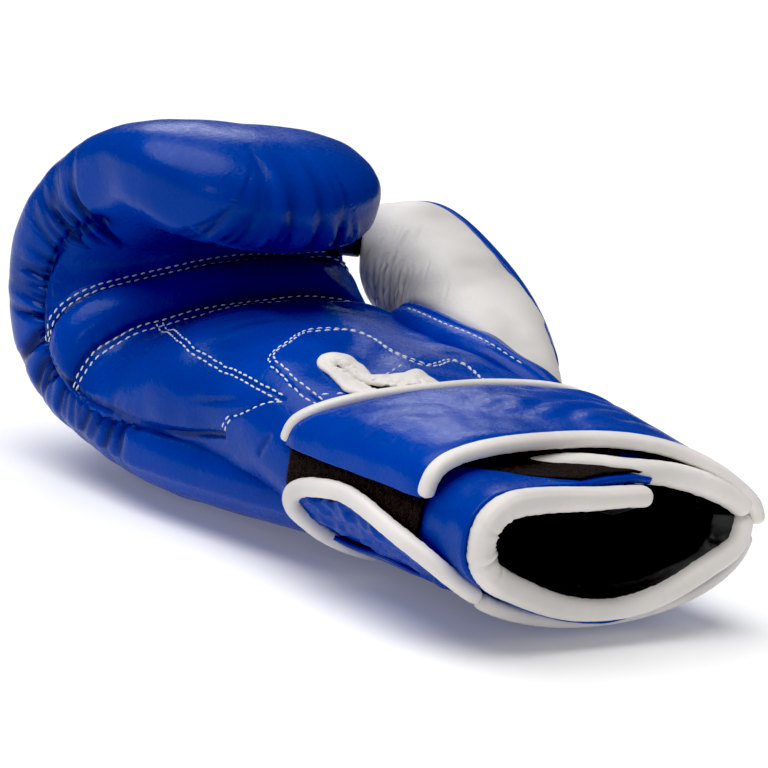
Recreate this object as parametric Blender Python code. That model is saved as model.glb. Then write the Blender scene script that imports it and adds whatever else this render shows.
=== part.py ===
"""Hook-and-loop boxing glove, right hand, lying on its back with the palm up.

Frame: +X thumb side, +Y towards the knuckles, +Z palm side up, origin under the middle of the glove.
Sizes below are millimetres; one loft per padded volume, and every leather, lining and foam layer is an
offset of that loft.
"""

import math

import bmesh
import bpy
import numpy as np
from mathutils import Vector

MM = 0.001
SHIFT = (-13.694, 15.497, -4.0)      # moves the glove so that its bounding box stands over the origin
FLOOR = 4.0                     # height of the flat rest face in the loft's own measure
GAP = 0.3                       # room left between sewn pieces
LEATHER = 1.5                   # leather thickness
LINING = 0.8                    # satin lining thickness
STEP = LEATHER + GAP            # from the outside of the leather to the pad behind it

# Padded fist slab: station, y, z, middle x, half width, half thickness
FIST = [
    (0.0, -92, 27, 5, 46, 12),
    (1.0, -45, 25, 1, 52, 18),
    (2.0, 0, 24, -4, 58, 21),
    (3.0, 44, 27, -6, 62, 24),
    (4.0, 82, 42, -7, 63, 26),
    (5.0, 97, 68, -8, 63, 26),
    (6.0, 90, 95, -9, 61, 24),
    (7.0, 66, 112, -11, 58, 22),
    (8.0, 40, 116, -14, 53, 21),
    (9.0, 17, 112, -17, 47, 18),
    (9.8, 2, 107, -18, 37, 9),
]
FIST_END = 9.8
FIST_N = 2.6

# Palm body and cuff: y, middle x, middle z, half width, half height, roundness
BODY = [
    (-147, 9, 33, 62, 24, 2.0),
    (-120, 9, 36, 60, 26, 2.0),
    (-92, 8, 39, 58, 28, 2.1),
    (-55, 5, 43, 58, 31, 2.3),
    (-10, 1, 48, 58, 33, 2.4),
    (22, -3, 50, 58, 33, 2.5),
    (50, -4, 54, 60, 32, 2.5),
    (70, -4, 58, 59, 31, 2.5),
    (84, -4, 64, 50, 30, 2.5),
]

# Room for the hand: y, middle x, middle z, half width, half height, roundness
HAND = [
    (-150, 9, 33, 54, 16, 2.0),
    (-120, 9, 36.5, 51, 18, 2.0),
    (-92, 8, 41, 48, 20, 2.1),
    (-55, 5, 49, 46, 19, 2.3),
    (-10, 1, 57, 45, 18, 2.4),
    (22, -3, 61, 46, 17.5, 2.5),
    (45, -4, 66, 45, 16, 2.5),
    (57, -4, 69, 38, 11, 2.4),
    (62, -4, 70, 22, 6, 2.2),
]

# Thumb: station, x, y, z, half width across the glove, half height
THUMB = [
    (0.0, 48, -64, 46, 12, 16),
    (1.0, 57, -40, 50, 20, 23),
    (2.0, 69, 0, 62, 23, 26),
    (3.0, 74, 36, 79, 23, 25),
    (4.0, 70, 58, 91, 20, 21),
    (4.8, 65, 70, 97, 9, 10),
]
THUMB_END = 4.8

# Inner face of the closure strap: y, middle x, middle z, half width, half height, roundness
WRAP = [
    (-135, 9, 35.6, 63.5, 27.5, 2.0),
    (-100, 8.5, 38.7, 62.5, 30.8, 2.1),
    (-80, 7, 41, 62.5, 33, 2.4),
    (-62, 5.5, 43, 63.5, 35.5, 2.6),
]
HEEL = 10.0                     # rise of the thumb heel beside the wrist
HEEL_AT = -82.0
HEEL_SPREAD = 36.0


def natural_spline(rows):
    """Smooth curve through rows of (t, values...), straight at both ends."""
    table = np.array(rows, float)
    t = table[:, 0]
    v = table[:, 1:]
    n = len(t)
    h = np.diff(t)
    lhs = np.eye(n)
    rhs = np.zeros_like(v)
    for i in range(1, n - 1):
        lhs[i, i - 1] = h[i - 1]
        lhs[i, i] = 2 * (h[i - 1] + h[i])
        lhs[i, i + 1] = h[i]
        rhs[i] = 3 * ((v[i + 1] - v[i]) / h[i] - (v[i] - v[i - 1]) / h[i - 1])
    c = np.linalg.solve(lhs, rhs)

    def at(x):
        x = min(max(x, t[0]), t[-1])
        i = min(max(int(np.searchsorted(t, x)) - 1, 0), n - 2)
        d = x - t[i]
        slope = (v[i + 1] - v[i]) / h[i] - h[i] * (2 * c[i] + c[i + 1]) / 3
        return v[i] + slope * d + c[i] * d * d + (c[i + 1] - c[i]) / (3 * h[i]) * d**3

    return at


FIST_AT = natural_spline(FIST)
BODY_AT = natural_spline(BODY)
HAND_AT = natural_spline(HAND)
THUMB_AT = natural_spline(THUMB)
WRAP_AT = natural_spline(WRAP)


def oval(angle, a, b, n):
    """Point of a superellipse, angle in degrees."""
    c = math.cos(math.radians(angle))
    s = math.sin(math.radians(angle))
    x = a * math.copysign(abs(c) ** (2 / n), c)
    return x, b * math.copysign(abs(s) ** (2 / n), s)


def fist(s, angle, off=0.0):
    """Padded slab: 270 degrees is its outer face, 180 the little-finger edge."""
    y, z, xc, a, b = FIST_AT(s)
    ahead = FIST_AT(min(s + 0.01, FIST_END))
    behind = FIST_AT(max(s - 0.01, 0))
    ty, tz = ahead[0] - behind[0], ahead[1] - behind[1]
    size = math.hypot(ty, tz)
    across, out = oval(angle, a + off, b + off, FIST_N)
    return (xc + across, y - out * tz / size, max(z + out * ty / size, FLOOR - off))


def tube(at, y, angle, off=0.0):
    xc, z, a, b, n = at(y)
    across, up = oval(angle, a + off, b + off, n)
    return (xc + across, y, z + up)


def heel(y, across, up, a, b):
    """Extra height of the upper thumb-side quarter, where the heel of the thumb fills the glove."""
    if across <= 0 or up <= 0:
        return 0.0
    share = min(across / (0.75 * a), 1.0)
    return HEEL * math.exp(-(((y - HEEL_AT) / HEEL_SPREAD) ** 2)) * share * share * (3 - 2 * share) * up / b


def heeled(at, y, angle, off):
    xc, z, a, b, n = at(y)
    across, up = oval(angle, a + off, b + off, n)
    return (xc + across, y, z + up + heel(y, across, up, a, b))


def body(y, angle, off=0.0):
    return heeled(BODY_AT, y, angle, off)


def wrap(y, angle, off=0.0):
    return heeled(WRAP_AT, y, angle, off)


def hand(y, angle, off=0.0):
    return tube(HAND_AT, y, angle, off)


def thumb(s, angle, off=0.0):
    x, y, z, a, b = THUMB_AT(s)
    ahead = np.array(THUMB_AT(min(s + 0.01, THUMB_END))[:3])
    behind = np.array(THUMB_AT(max(s - 0.01, 0))[:3])
    along = Vector(ahead - behind).normalized()
    side = along.cross(Vector((0, 0, 1))).normalized()
    lift = side.cross(along)
    p, q = oval(angle, a + off, b + off, 2.2)
    return tuple(Vector((x, y, z)) + side * p + lift * q)


def clear_scene():
    for old in list(bpy.data.objects):
        bpy.data.objects.remove(old, do_unlink=True)


def new_collection(name):
    made = bpy.data.collections.new(name)
    bpy.context.scene.collection.children.link(made)
    return made


def material(name, colour, rough):
    made = bpy.data.materials.new(name)
    made.use_nodes = True
    shader = made.node_tree.nodes["Principled BSDF"]
    shader.inputs["Base Color"].default_value = (*colour, 1.0)
    shader.inputs["Roughness"].default_value = rough
    return made


def place(point):
    return tuple((p + s) * MM for p, s in zip(point, SHIFT))


def add(name, bm, where, look=None):
    bmesh.ops.recalc_face_normals(bm, faces=bm.faces)
    if bm.calc_volume(signed=True) < 0:
        bmesh.ops.reverse_faces(bm, faces=bm.faces)
    mesh = bpy.data.meshes.new(name)
    bm.to_mesh(mesh)
    bm.free()
    made = bpy.data.objects.new(name, mesh)
    where.objects.link(made)
    if look:
        mesh.materials.append(look)
    else:
        made.hide_render = True
        made.display_type = "WIRE"
    return made


def span(start, end, count):
    return [start + (end - start) * i / count for i in range(count + 1)]


def loft(rows, closed=True, caps=(True, True)):
    """Faces between rows of points. Rows of one point make a tip."""
    bm = bmesh.new()
    lines = [[bm.verts.new(place(p)) for p in row] for row in rows]
    for low, high in zip(lines, lines[1:]):
        count = max(len(low), len(high))
        for j in range(count if closed else count - 1):
            k = (j + 1) % count
            quad = [low[j % len(low)], low[k % len(low)], high[k % len(high)], high[j % len(high)]]
            corners = list(dict.fromkeys(quad))
            if len(corners) > 2:
                bm.faces.new(corners)
    if caps[0] and len(lines[0]) > 2:
        bm.faces.new(lines[0])
    if caps[1] and len(lines[-1]) > 2:
        bm.faces.new(lines[-1])
    return bm


def solid(name, rows, look, caps=(True, True)):
    where = PARTS if look else GUIDES
    return add(name, loft(rows, caps=caps), where, look)


def slab(name, outer, inner, look):
    """Closed plate between two like grids of points."""
    bm = bmesh.new()
    top = [[bm.verts.new(place(p)) for p in row] for row in outer]
    low = [[bm.verts.new(place(p)) for p in row] for row in inner]
    n, m = len(top), len(top[0])
    for i in range(n - 1):
        for j in range(m - 1):
            bm.faces.new([top[i][j], top[i + 1][j], top[i + 1][j + 1], top[i][j + 1]])
            bm.faces.new([low[i][j], low[i][j + 1], low[i + 1][j + 1], low[i + 1][j]])
    edge = [(i, 0) for i in range(n)] + [(n - 1, j) for j in range(1, m)]
    edge += [(i, m - 1) for i in range(n - 2, -1, -1)] + [(0, j) for j in range(m - 2, 0, -1)]
    for (i, j), (p, q) in zip(edge, edge[1:] + edge[:1]):
        bm.faces.new([top[i][j], low[i][j], low[p][q], top[p][q]])
    return add(name, bm, PARTS, look)


def cord(name, points, radius, look, sides=8, closed=False):
    """Piping: a bevelled curve turned into a mesh."""
    curve = bpy.data.curves.new(name, "CURVE")
    curve.dimensions = "3D"
    curve.bevel_depth = radius * MM
    curve.bevel_resolution = max(sides // 2 - 2, 0)
    curve.use_fill_caps = True
    line = curve.splines.new("POLY")
    line.points.add(len(points) - 1)
    for spot, p in zip(line.points, points):
        spot.co = (*place(p), 1.0)
    line.use_cyclic_u = closed
    guide = bpy.data.objects.new(name + "_curve", curve)
    PARTS.objects.link(guide)
    bpy.context.view_layer.update()
    graph = bpy.context.evaluated_depsgraph_get()
    mesh = bpy.data.meshes.new_from_object(guide.evaluated_get(graph))
    bpy.data.objects.remove(guide, do_unlink=True)
    bm = bmesh.new()
    bm.from_mesh(mesh)
    bmesh.ops.remove_doubles(bm, verts=bm.verts, dist=1e-6)
    bpy.data.meshes.remove(mesh)
    return add(name, bm, PARTS, look)


def cut(target, *tools):
    for tool in tools:
        step = target.modifiers.new("cut " + tool.name, "BOOLEAN")
        step.operation = "DIFFERENCE"
        step.solver = "EXACT"
        step.object = tool
    return target


def tube_rows(point, us, sides, off=0.0):
    return [[point(u, 360 * j / sides, off) for j in range(sides)] for u in us]


def wall(name, outer, inner, look, closed_end=False):
    """Tube wall between two like sets of rings, open at its near end, open or closed at the far one."""
    bm = bmesh.new()
    out = [[bm.verts.new(place(p)) for p in row] for row in outer]
    back = [[bm.verts.new(place(p)) for p in row] for row in inner]
    count = len(out[0])
    joins = list(zip(out, out[1:])) + list(zip(back, back[1:])) + [(out[0], back[0])]
    if closed_end:
        bm.faces.new(out[-1])
        bm.faces.new(back[-1])
    else:
        joins.append((out[-1], back[-1]))
    for low, high in joins:
        for j in range(count):
            k = (j + 1) % count
            bm.faces.new([low[j], low[k], high[k], high[j]])
    return add(name, bm, PARTS, look)


def region(name, point, start, end, v0, v1, rows, count, look, outer=0.0, inner=-LEATHER):
    """Piece of a loft between two angles, running from start(angle) to end(angle)."""
    def level(value, i, j):
        return value(i / rows, j / count) if callable(value) else value

    top = []
    low = []
    for i in range(rows + 1):
        up = []
        down = []
        for j, v in enumerate(span(v0, v1, count)):
            u = start(v) + (end(v) - start(v)) * i / rows
            up.append(point(u, v, level(outer, i, j)))
            down.append(point(u, v, level(inner, i, j)))
        top.append(up)
        low.append(down)
    return slab(name, top, low, look)


def ramp(*pairs):
    """Straight-line function through (x, y) pairs in rising x."""
    xs = [p[0] for p in pairs]
    ys = [p[1] for p in pairs]
    return lambda x: float(np.interp(x, xs, ys))


def still(value):
    return lambda v: value


clear_scene()
PARTS = new_collection("boxing_glove")
GUIDES = new_collection("guides")
GUIDES.hide_render = True

BLUE = material("blue_leather", (0.02, 0.06, 0.32), 0.35)
WHITE = material("white_leather", (0.85, 0.84, 0.8), 0.45)
NAVY = material("navy_tether", (0.01, 0.015, 0.06), 0.5)
SATIN = material("black_satin", (0.01, 0.01, 0.012), 0.4)
LOOP = material("loop_tape", (0.03, 0.02, 0.015), 0.95)
HOOK = material("hook_tape", (0.02, 0.02, 0.02), 0.8)
FOAM = material("foam", (0.75, 0.72, 0.6), 0.9)

FIST_SIDES = 16
FIST_ROWS = span(0, FIST_END, 14)
BODY_SIDES = 24
BODY_YS = [-92, -75, -55, -33, -10, 8, 22, 36, 50, 62, 74, 82]
HAND_YS = [-120, -91.5, -73, -55, -33, -10, 8, 22, 34, 45, 52, 57, 60, 62]
THUMB_ROWS = [0, 0.4, 0.8, 1.2, 1.7, 2.2, 2.7, 3.2, 3.7, 4.1, 4.4, 4.65, 4.8]
THUMB_SIDES = 14
SQUARE = ((-110, -120), (110, -120), (110, 120), (-110, 120))

# Cutters: each is the outside of a piece, plus the sewing gap
slab_cutter = solid("slab_cutter", tube_rows(fist, FIST_ROWS, FIST_SIDES, GAP), None)
hand_cutter = solid("hand_cutter", tube_rows(hand, HAND_YS, BODY_SIDES, GAP), None)
body_cutter = solid("body_cutter", tube_rows(body, [-100] + BODY_YS, BODY_SIDES, 3 * GAP), None)
pocket_cutter = solid("pocket_cutter", tube_rows(thumb, THUMB_ROWS[:6], THUMB_SIDES, -8), None)

# Fist padding and its leather
skin = wall(
    "knuckle_leather",
    tube_rows(fist, FIST_ROWS, FIST_SIDES, 0),
    tube_rows(fist, FIST_ROWS[:-1] + [FIST_END - 0.1], FIST_SIDES, -LEATHER),
    BLUE,
    closed_end=True,
)
cut(skin, hand_cutter)
outer_foam = wall(
    "knuckle_foam_outer",
    tube_rows(fist, FIST_ROWS[:-1] + [FIST_END - 0.15], FIST_SIDES, -STEP - GAP),
    tube_rows(fist, FIST_ROWS[:-2] + [9.2], FIST_SIDES, -STEP - 6),
    FOAM,
    closed_end=True,
)
cut(outer_foam, hand_cutter)
inner_foam = solid(
    "knuckle_foam_inner", tube_rows(fist, FIST_ROWS[:-2], FIST_SIDES, -STEP - 6 - 3 * GAP), FOAM
)
cut(inner_foam, hand_cutter)

# Palm padding, between the palm leather and the lining of the hand compartment
palm_foam = solid("palm_foam", tube_rows(body, BODY_YS, BODY_SIDES, -STEP - 0.4), FOAM)
under_cutter = solid("under_cutter", [[(x, y, z) for x, y in SQUARE] for z in (-20, 25)], None)
cut(palm_foam, slab_cutter, hand_cutter, pocket_cutter, under_cutter)

hand_lining = wall(
    "hand_lining",
    tube_rows(hand, HAND_YS[1:], BODY_SIDES, 0),
    tube_rows(hand, HAND_YS[1:-1] + [61], BODY_SIDES, -LINING),
    SATIN,
    closed_end=True,
)
cut(hand_lining, pocket_cutter)

# Palm leather, in the pieces that it is sewn from
GRIP_BACK = ramp((-30, -6), (8, -4), (80, 0), (104, 6), (127, 12), (149, 25), (168, 40), (183, 50), (205, 60))
GRIP_FRONT = ramp((-30, 40), (8, 40), (86, 42), (119, 44), (153, 56), (168, 66), (205, 76))


def beyond(line, gap):
    return lambda v: line(v) + gap


palm = region("palm_leather", body, still(-93.0), beyond(GRIP_BACK, -1.2), -28, 150, 8, 19, BLUE)
cut(palm, slab_cutter)
side = region("side_panel", body, still(-38.0), beyond(GRIP_BACK, -1.2), 150.6, 214, 8, 9, BLUE)
cut(side, slab_cutter)
wrist_side = region("wrist_side_panel", body, still(-93.0), still(-38.0 - GAP), 150.6, 214, 5, 9, BLUE)
cut(wrist_side, slab_cutter)
pocket = region("finger_pocket_leather", body, beyond(GRIP_FRONT, GAP), still(82.0), -28, 205, 4, 23, BLUE)
cut(pocket, slab_cutter, pocket_cutter)


def swell(i, j):
    """Rounded rise of the grip roll, flat along its seams."""
    ends = min(1.0, max(0.0, 7 * (j - 0.32)), 6 * (1 - j))
    return 4.5 * math.sin(math.pi * min(max(i, 0), 1)) ** 0.7 * ends


grip = region(
    "grip_cover", body, GRIP_BACK, GRIP_FRONT, -28, 205, 7, 23, BLUE,
    outer=swell, inner=lambda i, j: swell(i, j) - LEATHER,
)
cut(grip, slab_cutter, pocket_cutter)
roll = region(
    "grip_roll_foam", body, beyond(GRIP_BACK, 5), beyond(GRIP_FRONT, -5), 80, 165, 6, 9, FOAM,
    outer=lambda i, j: swell(0.15 + 0.7 * i, 0.5) - LEATHER - 3 * GAP,
    inner=-LEATHER + GAP / 2,
)
cut(roll, slab_cutter)

# Reinforcement round the slit of the palm
PATCH_Y = (-76.0, -27.0)
PATCH_V = (97.0, 144.0)


def patch_front(v):
    return PATCH_Y[1] - 0.004 * (v - 120) ** 2


patch = region(
    "slit_patch", body, still(PATCH_Y[0]), patch_front, *PATCH_V, 8, 8, BLUE, outer=GAP + 1.2, inner=GAP
)
SLIT_FROM = (-45.0, 127.0)
SLIT_TO = (-66.0, 113.0)
SLIT_WIDE = 5.2


def slit_ring(wide, off, count, reach=0.0):
    """Long rounded loop about the slit."""
    ring = []
    for k in range(count):
        turn = 2 * math.pi * k / count
        along = 0.5 - (0.5 + reach) * math.copysign(abs(math.cos(turn)) ** 0.6, math.cos(turn))
        y = SLIT_FROM[0] + (SLIT_TO[0] - SLIT_FROM[0]) * along
        v = SLIT_FROM[1] + (SLIT_TO[1] - SLIT_FROM[1]) * along + wide * math.sin(turn)
        y += wide * 0.35 * math.sin(turn)
        ring.append(body(y, v, off))
    return ring


slit_cutter = solid("slit_cutter", [slit_ring(SLIT_WIDE + 3.4, off, 18, 0.14) for off in (-6, 6)], None)
cut(patch, slit_cutter)
cut(palm, slit_cutter)
cord("slit_binding", slit_ring(SLIT_WIDE, 1.0, 18), 1.15, WHITE, sides=6, closed=True)

# Thumb
thumb_skin = wall(
    "thumb_leather",
    tube_rows(thumb, THUMB_ROWS[3:], THUMB_SIDES, 0),
    tube_rows(thumb, THUMB_ROWS[3:-1] + [4.74], THUMB_SIDES, -LEATHER),
    WHITE,
    closed_end=True,
)
base = wall(
    "thumb_base_panel",
    tube_rows(thumb, [0, 0.4, 0.8, 1.19], THUMB_SIDES, 0),
    tube_rows(thumb, [0, 0.4, 0.8, 1.19], THUMB_SIDES, -LEATHER),
    BLUE,
)
thumb_foam = wall(
    "thumb_foam",
    tube_rows(thumb, THUMB_ROWS[2:-1] + [4.7], THUMB_SIDES, -STEP),
    tube_rows(thumb, THUMB_ROWS[2:9] + [4.0], THUMB_SIDES, -8),
    FOAM,
    closed_end=True,
)
thumb_lining = wall(
    "thumb_lining",
    tube_rows(thumb, THUMB_ROWS[1:9] + [3.95], THUMB_SIDES, -8 - GAP),
    tube_rows(thumb, THUMB_ROWS[1:9] + [3.9], THUMB_SIDES, -8 - GAP - LINING),
    SATIN,
    closed_end=True,
)
cut(palm, pocket_cutter)
cut(thumb_skin, body_cutter)
cut(base, body_cutter)
cut(thumb_foam, body_cutter)
cut(thumb_lining, hand_cutter)
back_strip = region(
    "thumb_back_strip", thumb, still(1.25), still(4.55), -14, 44, 12, 4, BLUE, outer=GAP + 1.1, inner=GAP
)
cut(back_strip, body_cutter)
thumb_out = solid("thumb_out", tube_rows(thumb, THUMB_ROWS, THUMB_SIDES, GAP), None)
tether = solid(
    "thumb_tether",
    [[(x, y, z) for y, z in ((36, 92), (50, 90), (50, 101), (36, 103))] for x in (34, 58)],
    NAVY,
)
cut(tether, slab_cutter, thumb_out)

# Cuff: a wall split on the palm side, its thumb side lapping over the other
CUFF_FROM = 72
CUFF_TO = 384
CUFF_COUNT = 24


def cuff_layer(name, look, outer, inner, near=-145.5, far=-94.0):
    return region(name, body, still(near), still(far), CUFF_FROM, CUFF_TO, 3, CUFF_COUNT, look, outer, inner)


cuff_layer("cuff_leather", BLUE, 0, -LEATHER)
cuff_layer("cuff_foam", FOAM, -STEP, -6)
cuff_layer("cuff_lining", SATIN, -6 - GAP, -6 - GAP - LINING)
cord(
    "cuff_binding",
    [body(-149.6, v, -3.4) for v in span(CUFF_FROM, CUFF_TO, CUFF_COUNT)],
    3.6,
    WHITE,
    sides=10,
)
LAP_EDGE = ramp((20, -146), (45, -142), (115, -134))
region("cuff_overlap", body, LAP_EDGE, still(-94.0), 20, 115, 5, 10, BLUE, outer=1.7, inner=0.5)
region(
    "cuff_overlap_lining", body, beyond(LAP_EDGE, 2), still(-94.0), 27, 70, 5, 5, SATIN,
    outer=0.2, inner=-0.8,
)
cord(
    "cuff_overlap_binding",
    [body(LAP_EDGE(v) - 2.2, v, 2.3) for v in span(20, 115, 12)],
    1.8,
    WHITE,
)

# Closure strap: palm panel from the thumb side, flap from the back, both on the little-finger side
PANEL_FIST = ramp((5, -80), (68, -80), (95, -81), (130, -76), (158, -66))
PANEL_CUFF = ramp((5, -127), (158, -127))
PANEL_END = 158
region(
    "strap_panel", wrap, PANEL_CUFF, PANEL_FIST, 5, PANEL_END, 4, 16, BLUE, outer=3.5, inner=2.2
)
region(
    "strap_panel_foam", wrap, beyond(PANEL_CUFF, 3), beyond(PANEL_FIST, -3), 12, PANEL_END - 6, 3, 12, FOAM,
    outer=1.7, inner=0.3,
)
cord("strap_piping_fist", [wrap(PANEL_FIST(v) + 2.0, v, 1.9) for v in span(5, PANEL_END, 18)], 1.6, WHITE)
cord("strap_piping_cuff", [wrap(PANEL_CUFF(v) - 2.0, v, 1.9) for v in span(5, PANEL_END, 18)], 1.6, WHITE)

TAPE_V = (147.0, 210.0)
tape_top = [[wrap(y, v, -GAP) for v in span(*TAPE_V, 10)] for y in span(-126, -70, 6)]
tape_low = [[body(y, v, GAP) for v in span(*TAPE_V, 10)] for y in span(-126, -70, 6)]
cut(slab("loop_tape", tape_top, tape_low, LOOP), slab_cutter)

FLAP_END = 174.0
FLAP_ROOT = 218.0
FLAP_ROUND = 13.0


def flap_inset(v):
    """How far the rounded end of the flap has drawn in at this angle."""
    lack = min(max((FLAP_END + FLAP_ROUND - v) / FLAP_ROUND, 0.0), 1.0)
    return 16.0 * (1 - math.sqrt(1 - (0.96 * lack) ** 2))


def flap_low(v):
    return -129.0 + flap_inset(v)


def flap_high(v):
    return -68.0 - flap_inset(v)


region("strap_flap", wrap, flap_low, flap_high, FLAP_END, FLAP_ROOT, 6, 10, BLUE, outer=2.8, inner=1.4)
region("hook_patch", wrap, still(-118.0), still(-79.0), 184, 212, 5, 6, HOOK, outer=1.1, inner=0.1)


def flap_clear(v):
    """Distance of the piping from the flap, wider where the edge turns."""
    lack = min(max((FLAP_END + FLAP_ROUND - v) / FLAP_ROUND, 0.0), 1.0)
    return 2.4 + 4.5 * lack**2


edge = [(flap_low(v) - flap_clear(v), v) for v in span(FLAP_ROOT, FLAP_END, 10)]
edge += [(y, FLAP_END - 6) for y in span(flap_low(FLAP_END) + 1, flap_high(FLAP_END) - 1, 5)]
edge += [(flap_high(v) + flap_clear(v), v) for v in span(FLAP_END, FLAP_ROOT, 10)]
cord("strap_flap_piping", [wrap(y, v, 2.0) for y, v in edge], 1.6, WHITE)

BACK_V = (FLAP_ROOT + 3.0, 363.0)
region("strap_back", wrap, still(-129.0), still(-80.0), *BACK_V, 5, 16, BLUE, outer=1.7, inner=0.3)
cord("strap_back_piping", [wrap(-131.0, v, 2.0) for v in span(*BACK_V, 16)], 1.6, WHITE)
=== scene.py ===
"""Looks of the boxing glove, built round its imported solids.

Lengths are millimetres in the glove's own loft measure until place() turns them into row-frame metres.
"""

import math

import bpy
import numpy as np
from mathutils import Matrix, Vector
from mathutils.bvhtree import BVHTree


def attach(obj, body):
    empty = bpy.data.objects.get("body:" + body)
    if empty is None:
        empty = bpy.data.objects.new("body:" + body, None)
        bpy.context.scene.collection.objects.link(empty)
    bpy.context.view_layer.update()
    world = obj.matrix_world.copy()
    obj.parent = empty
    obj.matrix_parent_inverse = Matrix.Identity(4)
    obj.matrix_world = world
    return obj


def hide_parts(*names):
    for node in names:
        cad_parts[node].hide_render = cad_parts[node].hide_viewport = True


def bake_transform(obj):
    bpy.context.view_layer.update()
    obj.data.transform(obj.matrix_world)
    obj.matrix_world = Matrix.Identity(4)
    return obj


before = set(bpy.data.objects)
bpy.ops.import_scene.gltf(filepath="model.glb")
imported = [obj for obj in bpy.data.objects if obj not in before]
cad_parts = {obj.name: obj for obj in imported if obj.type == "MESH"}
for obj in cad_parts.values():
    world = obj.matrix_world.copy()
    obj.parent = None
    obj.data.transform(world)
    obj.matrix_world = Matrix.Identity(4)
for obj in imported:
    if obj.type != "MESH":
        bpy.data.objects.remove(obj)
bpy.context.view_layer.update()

# ---- shapes
MM = 0.001
SHIFT = np.array([-13.694, 15.497, -4.0])       # from the loft measure to the row frame
FLOOR = 4.0                                     # height of the floor in the loft measure

# Padded fist slab: station, y, z, middle x, half width, half thickness
FIST = [
    (0.0, -92, 29, 5, 50, 14),
    (1.0, -45, 26, 1, 54, 19),
    (2.0, 0, 24, -4, 58, 21),
    (3.0, 44, 27, -6, 62, 24),
    (4.0, 82, 42, -7, 63, 26),
    (5.0, 97, 68, -8, 63, 26),
    (6.0, 90, 95, -9, 61, 24),
    (7.0, 66, 112, -11, 58, 22),
    (8.0, 40, 116, -14, 53, 21),
    (9.0, 17, 112, -17, 47, 18),
    (9.8, 2, 107, -18, 37, 9),
]
FIST_END = 9.8
FIST_N = 2.6                    # squareness of the slab
UNDER_SOFT = 0.7                # how much rounder it is below

# Palm body: y, middle x, middle z, half width, half height, roundness
PALM = [
    (-147, 9, 33, 61, 24, 2.0),
    (-120, 9, 35, 59, 25, 2.0),
    (-92, 7, 38, 58, 26, 2.1),
    (-62, 3, 42, 59.5, 27.5, 2.3),
    (-40, 1.5, 44.5, 60, 29.5, 2.3),
    (-10, 0, 46, 59, 31, 2.4),
    (12, -2, 47, 60, 31, 2.4),
    (30, -3, 48, 61, 31, 2.4),
]

# Palm body as packed, the base of the cuff: y, middle x, middle z, half width, half height, roundness
BODY = [
    (-147, 9, 33, 62, 24, 2.0),
    (-120, 9, 36, 60, 26, 2.0),
    (-92, 8, 39, 58, 28, 2.1),
    (-55, 5, 43, 58, 31, 2.3),
    (-10, 1, 48, 58, 33, 2.4),
]

# Room for the hand: y, middle x, middle z, half width, half height, roundness
HAND = [
    (-98, 8, 40, 49, 19.5, 2.1),
    (-55, 5, 47, 46, 17.5, 2.3),
    (-10, 1, 53, 45, 14.5, 2.4),
    (22, -3, 54, 40, 11, 2.4),
    (45, -4, 54, 34, 8, 2.4),
]

# Thumb: station, x, y, z, half width across the glove, half height
THUMB = [
    (0.0, 48, -64, 45, 12, 15),
    (1.0, 56, -40, 49, 18.5, 21),
    (2.0, 70, 0, 62.5, 24.5, 27.5),
    (3.0, 75.5, 35, 80, 23, 25),
    (4.0, 71.5, 56, 91.5, 19.5, 20.5),
    (4.8, 67, 66.5, 97.5, 8.5, 9.5),
]
THUMB_END = 4.8

# Back strap and flap: y, middle x, middle z, half width, half height, roundness
WRAP = [
    (-141, 12, 34.5, 62.5, 24.2, 2.0),
    (-100, 9, 37.5, 63, 28, 2.1),
    (-80, 7, 40, 63, 30.5, 2.2),
    (-62, 5.5, 42, 62, 32.5, 2.3),
]
HEEL = 3.0
HEEL_AT = -82.0
HEEL_SPREAD = 36.0

# Middle of the rolled ring round the mouth, from the tip of its little-finger side to its thumb end: x, z
RING = [
    (20, 52.2), (10, 52.6), (-4, 52.6), (-18, 53), (-30, 53), (-38.5, 52), (-43.6, 49.6), (-46.8, 45.6),
    (-47.6, 40), (-46.4, 35), (-42.4, 30.2), (-34, 26), (-22, 21.4), (-9, 17.6), (6.5, 15.8), (23.5, 16.8),
    (40, 21.6), (54.5, 28.2), (62.6, 33.6), (64.6, 38.9), (64.2, 44.4),
]
# Rolled edge of the wall that laps over it
LAP = [
    (-20, -128, 57.6), (-6, -133, 59.4), (2, -136, 59.8), (9, -138.5, 59.4), (17, -140.5, 58.6),
    (30, -142.5, 57.6), (46.7, -144.5, 54.2), (58, -147, 50), (66, -148.5, 45.6),
]
# Long edges of the palm strap, little-finger side to thumb side
STRAP_FIST = [
    (-57, -59.6, 47.6), (-55.8, -61, 54), (-51.3, -64.5, 58.8), (-42.5, -68.5, 62.8), (-28, -73, 66.4),
    (-9.1, -77, 69), (4, -79, 70.2), (20.2, -81, 70.4), (37.4, -82, 69), (46, -83, 67), (55.2, -84, 62),
    (64, -85.5, 52), (69, -87, 41),
]
STRAP_CUFF = [
    (-53.4, -127.6, 48.8), (-52.8, -127.8, 53.7), (-51, -128, 57.4), (-46.7, -128, 60.4),
    (-38.9, -128.5, 63), (-28.4, -129, 64.8), (-8.5, -130, 66.2), (11.2, -132, 66.6), (27.3, -136, 65.8),
    (40.9, -140, 63), (53.1, -144, 58), (62.6, -147, 52), (67.6, -149, 47), (70, -149.4, 41),
]
# Rolled edge of the flap: up from under the glove, round the end and on towards the mouth
FLAP = [
    (-22, -71, 12), (-34, -70.5, 15.4), (-45, -69.4, 20), (-53, -68, 25.4), (-57.4, -67, 30),
    (-58.6, -68.6, 34), (-58, -73, 37), (-57.8, -80, 38.9), (-57.4, -90.5, 40.6), (-57.2, -104, 39.4),
    (-56.8, -117, 36.4), (-56, -131, 33.2), (-52.4, -137.4, 29.6), (-45.5, -140, 24.6),
    (-37.4, -141, 19.9),
]
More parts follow.
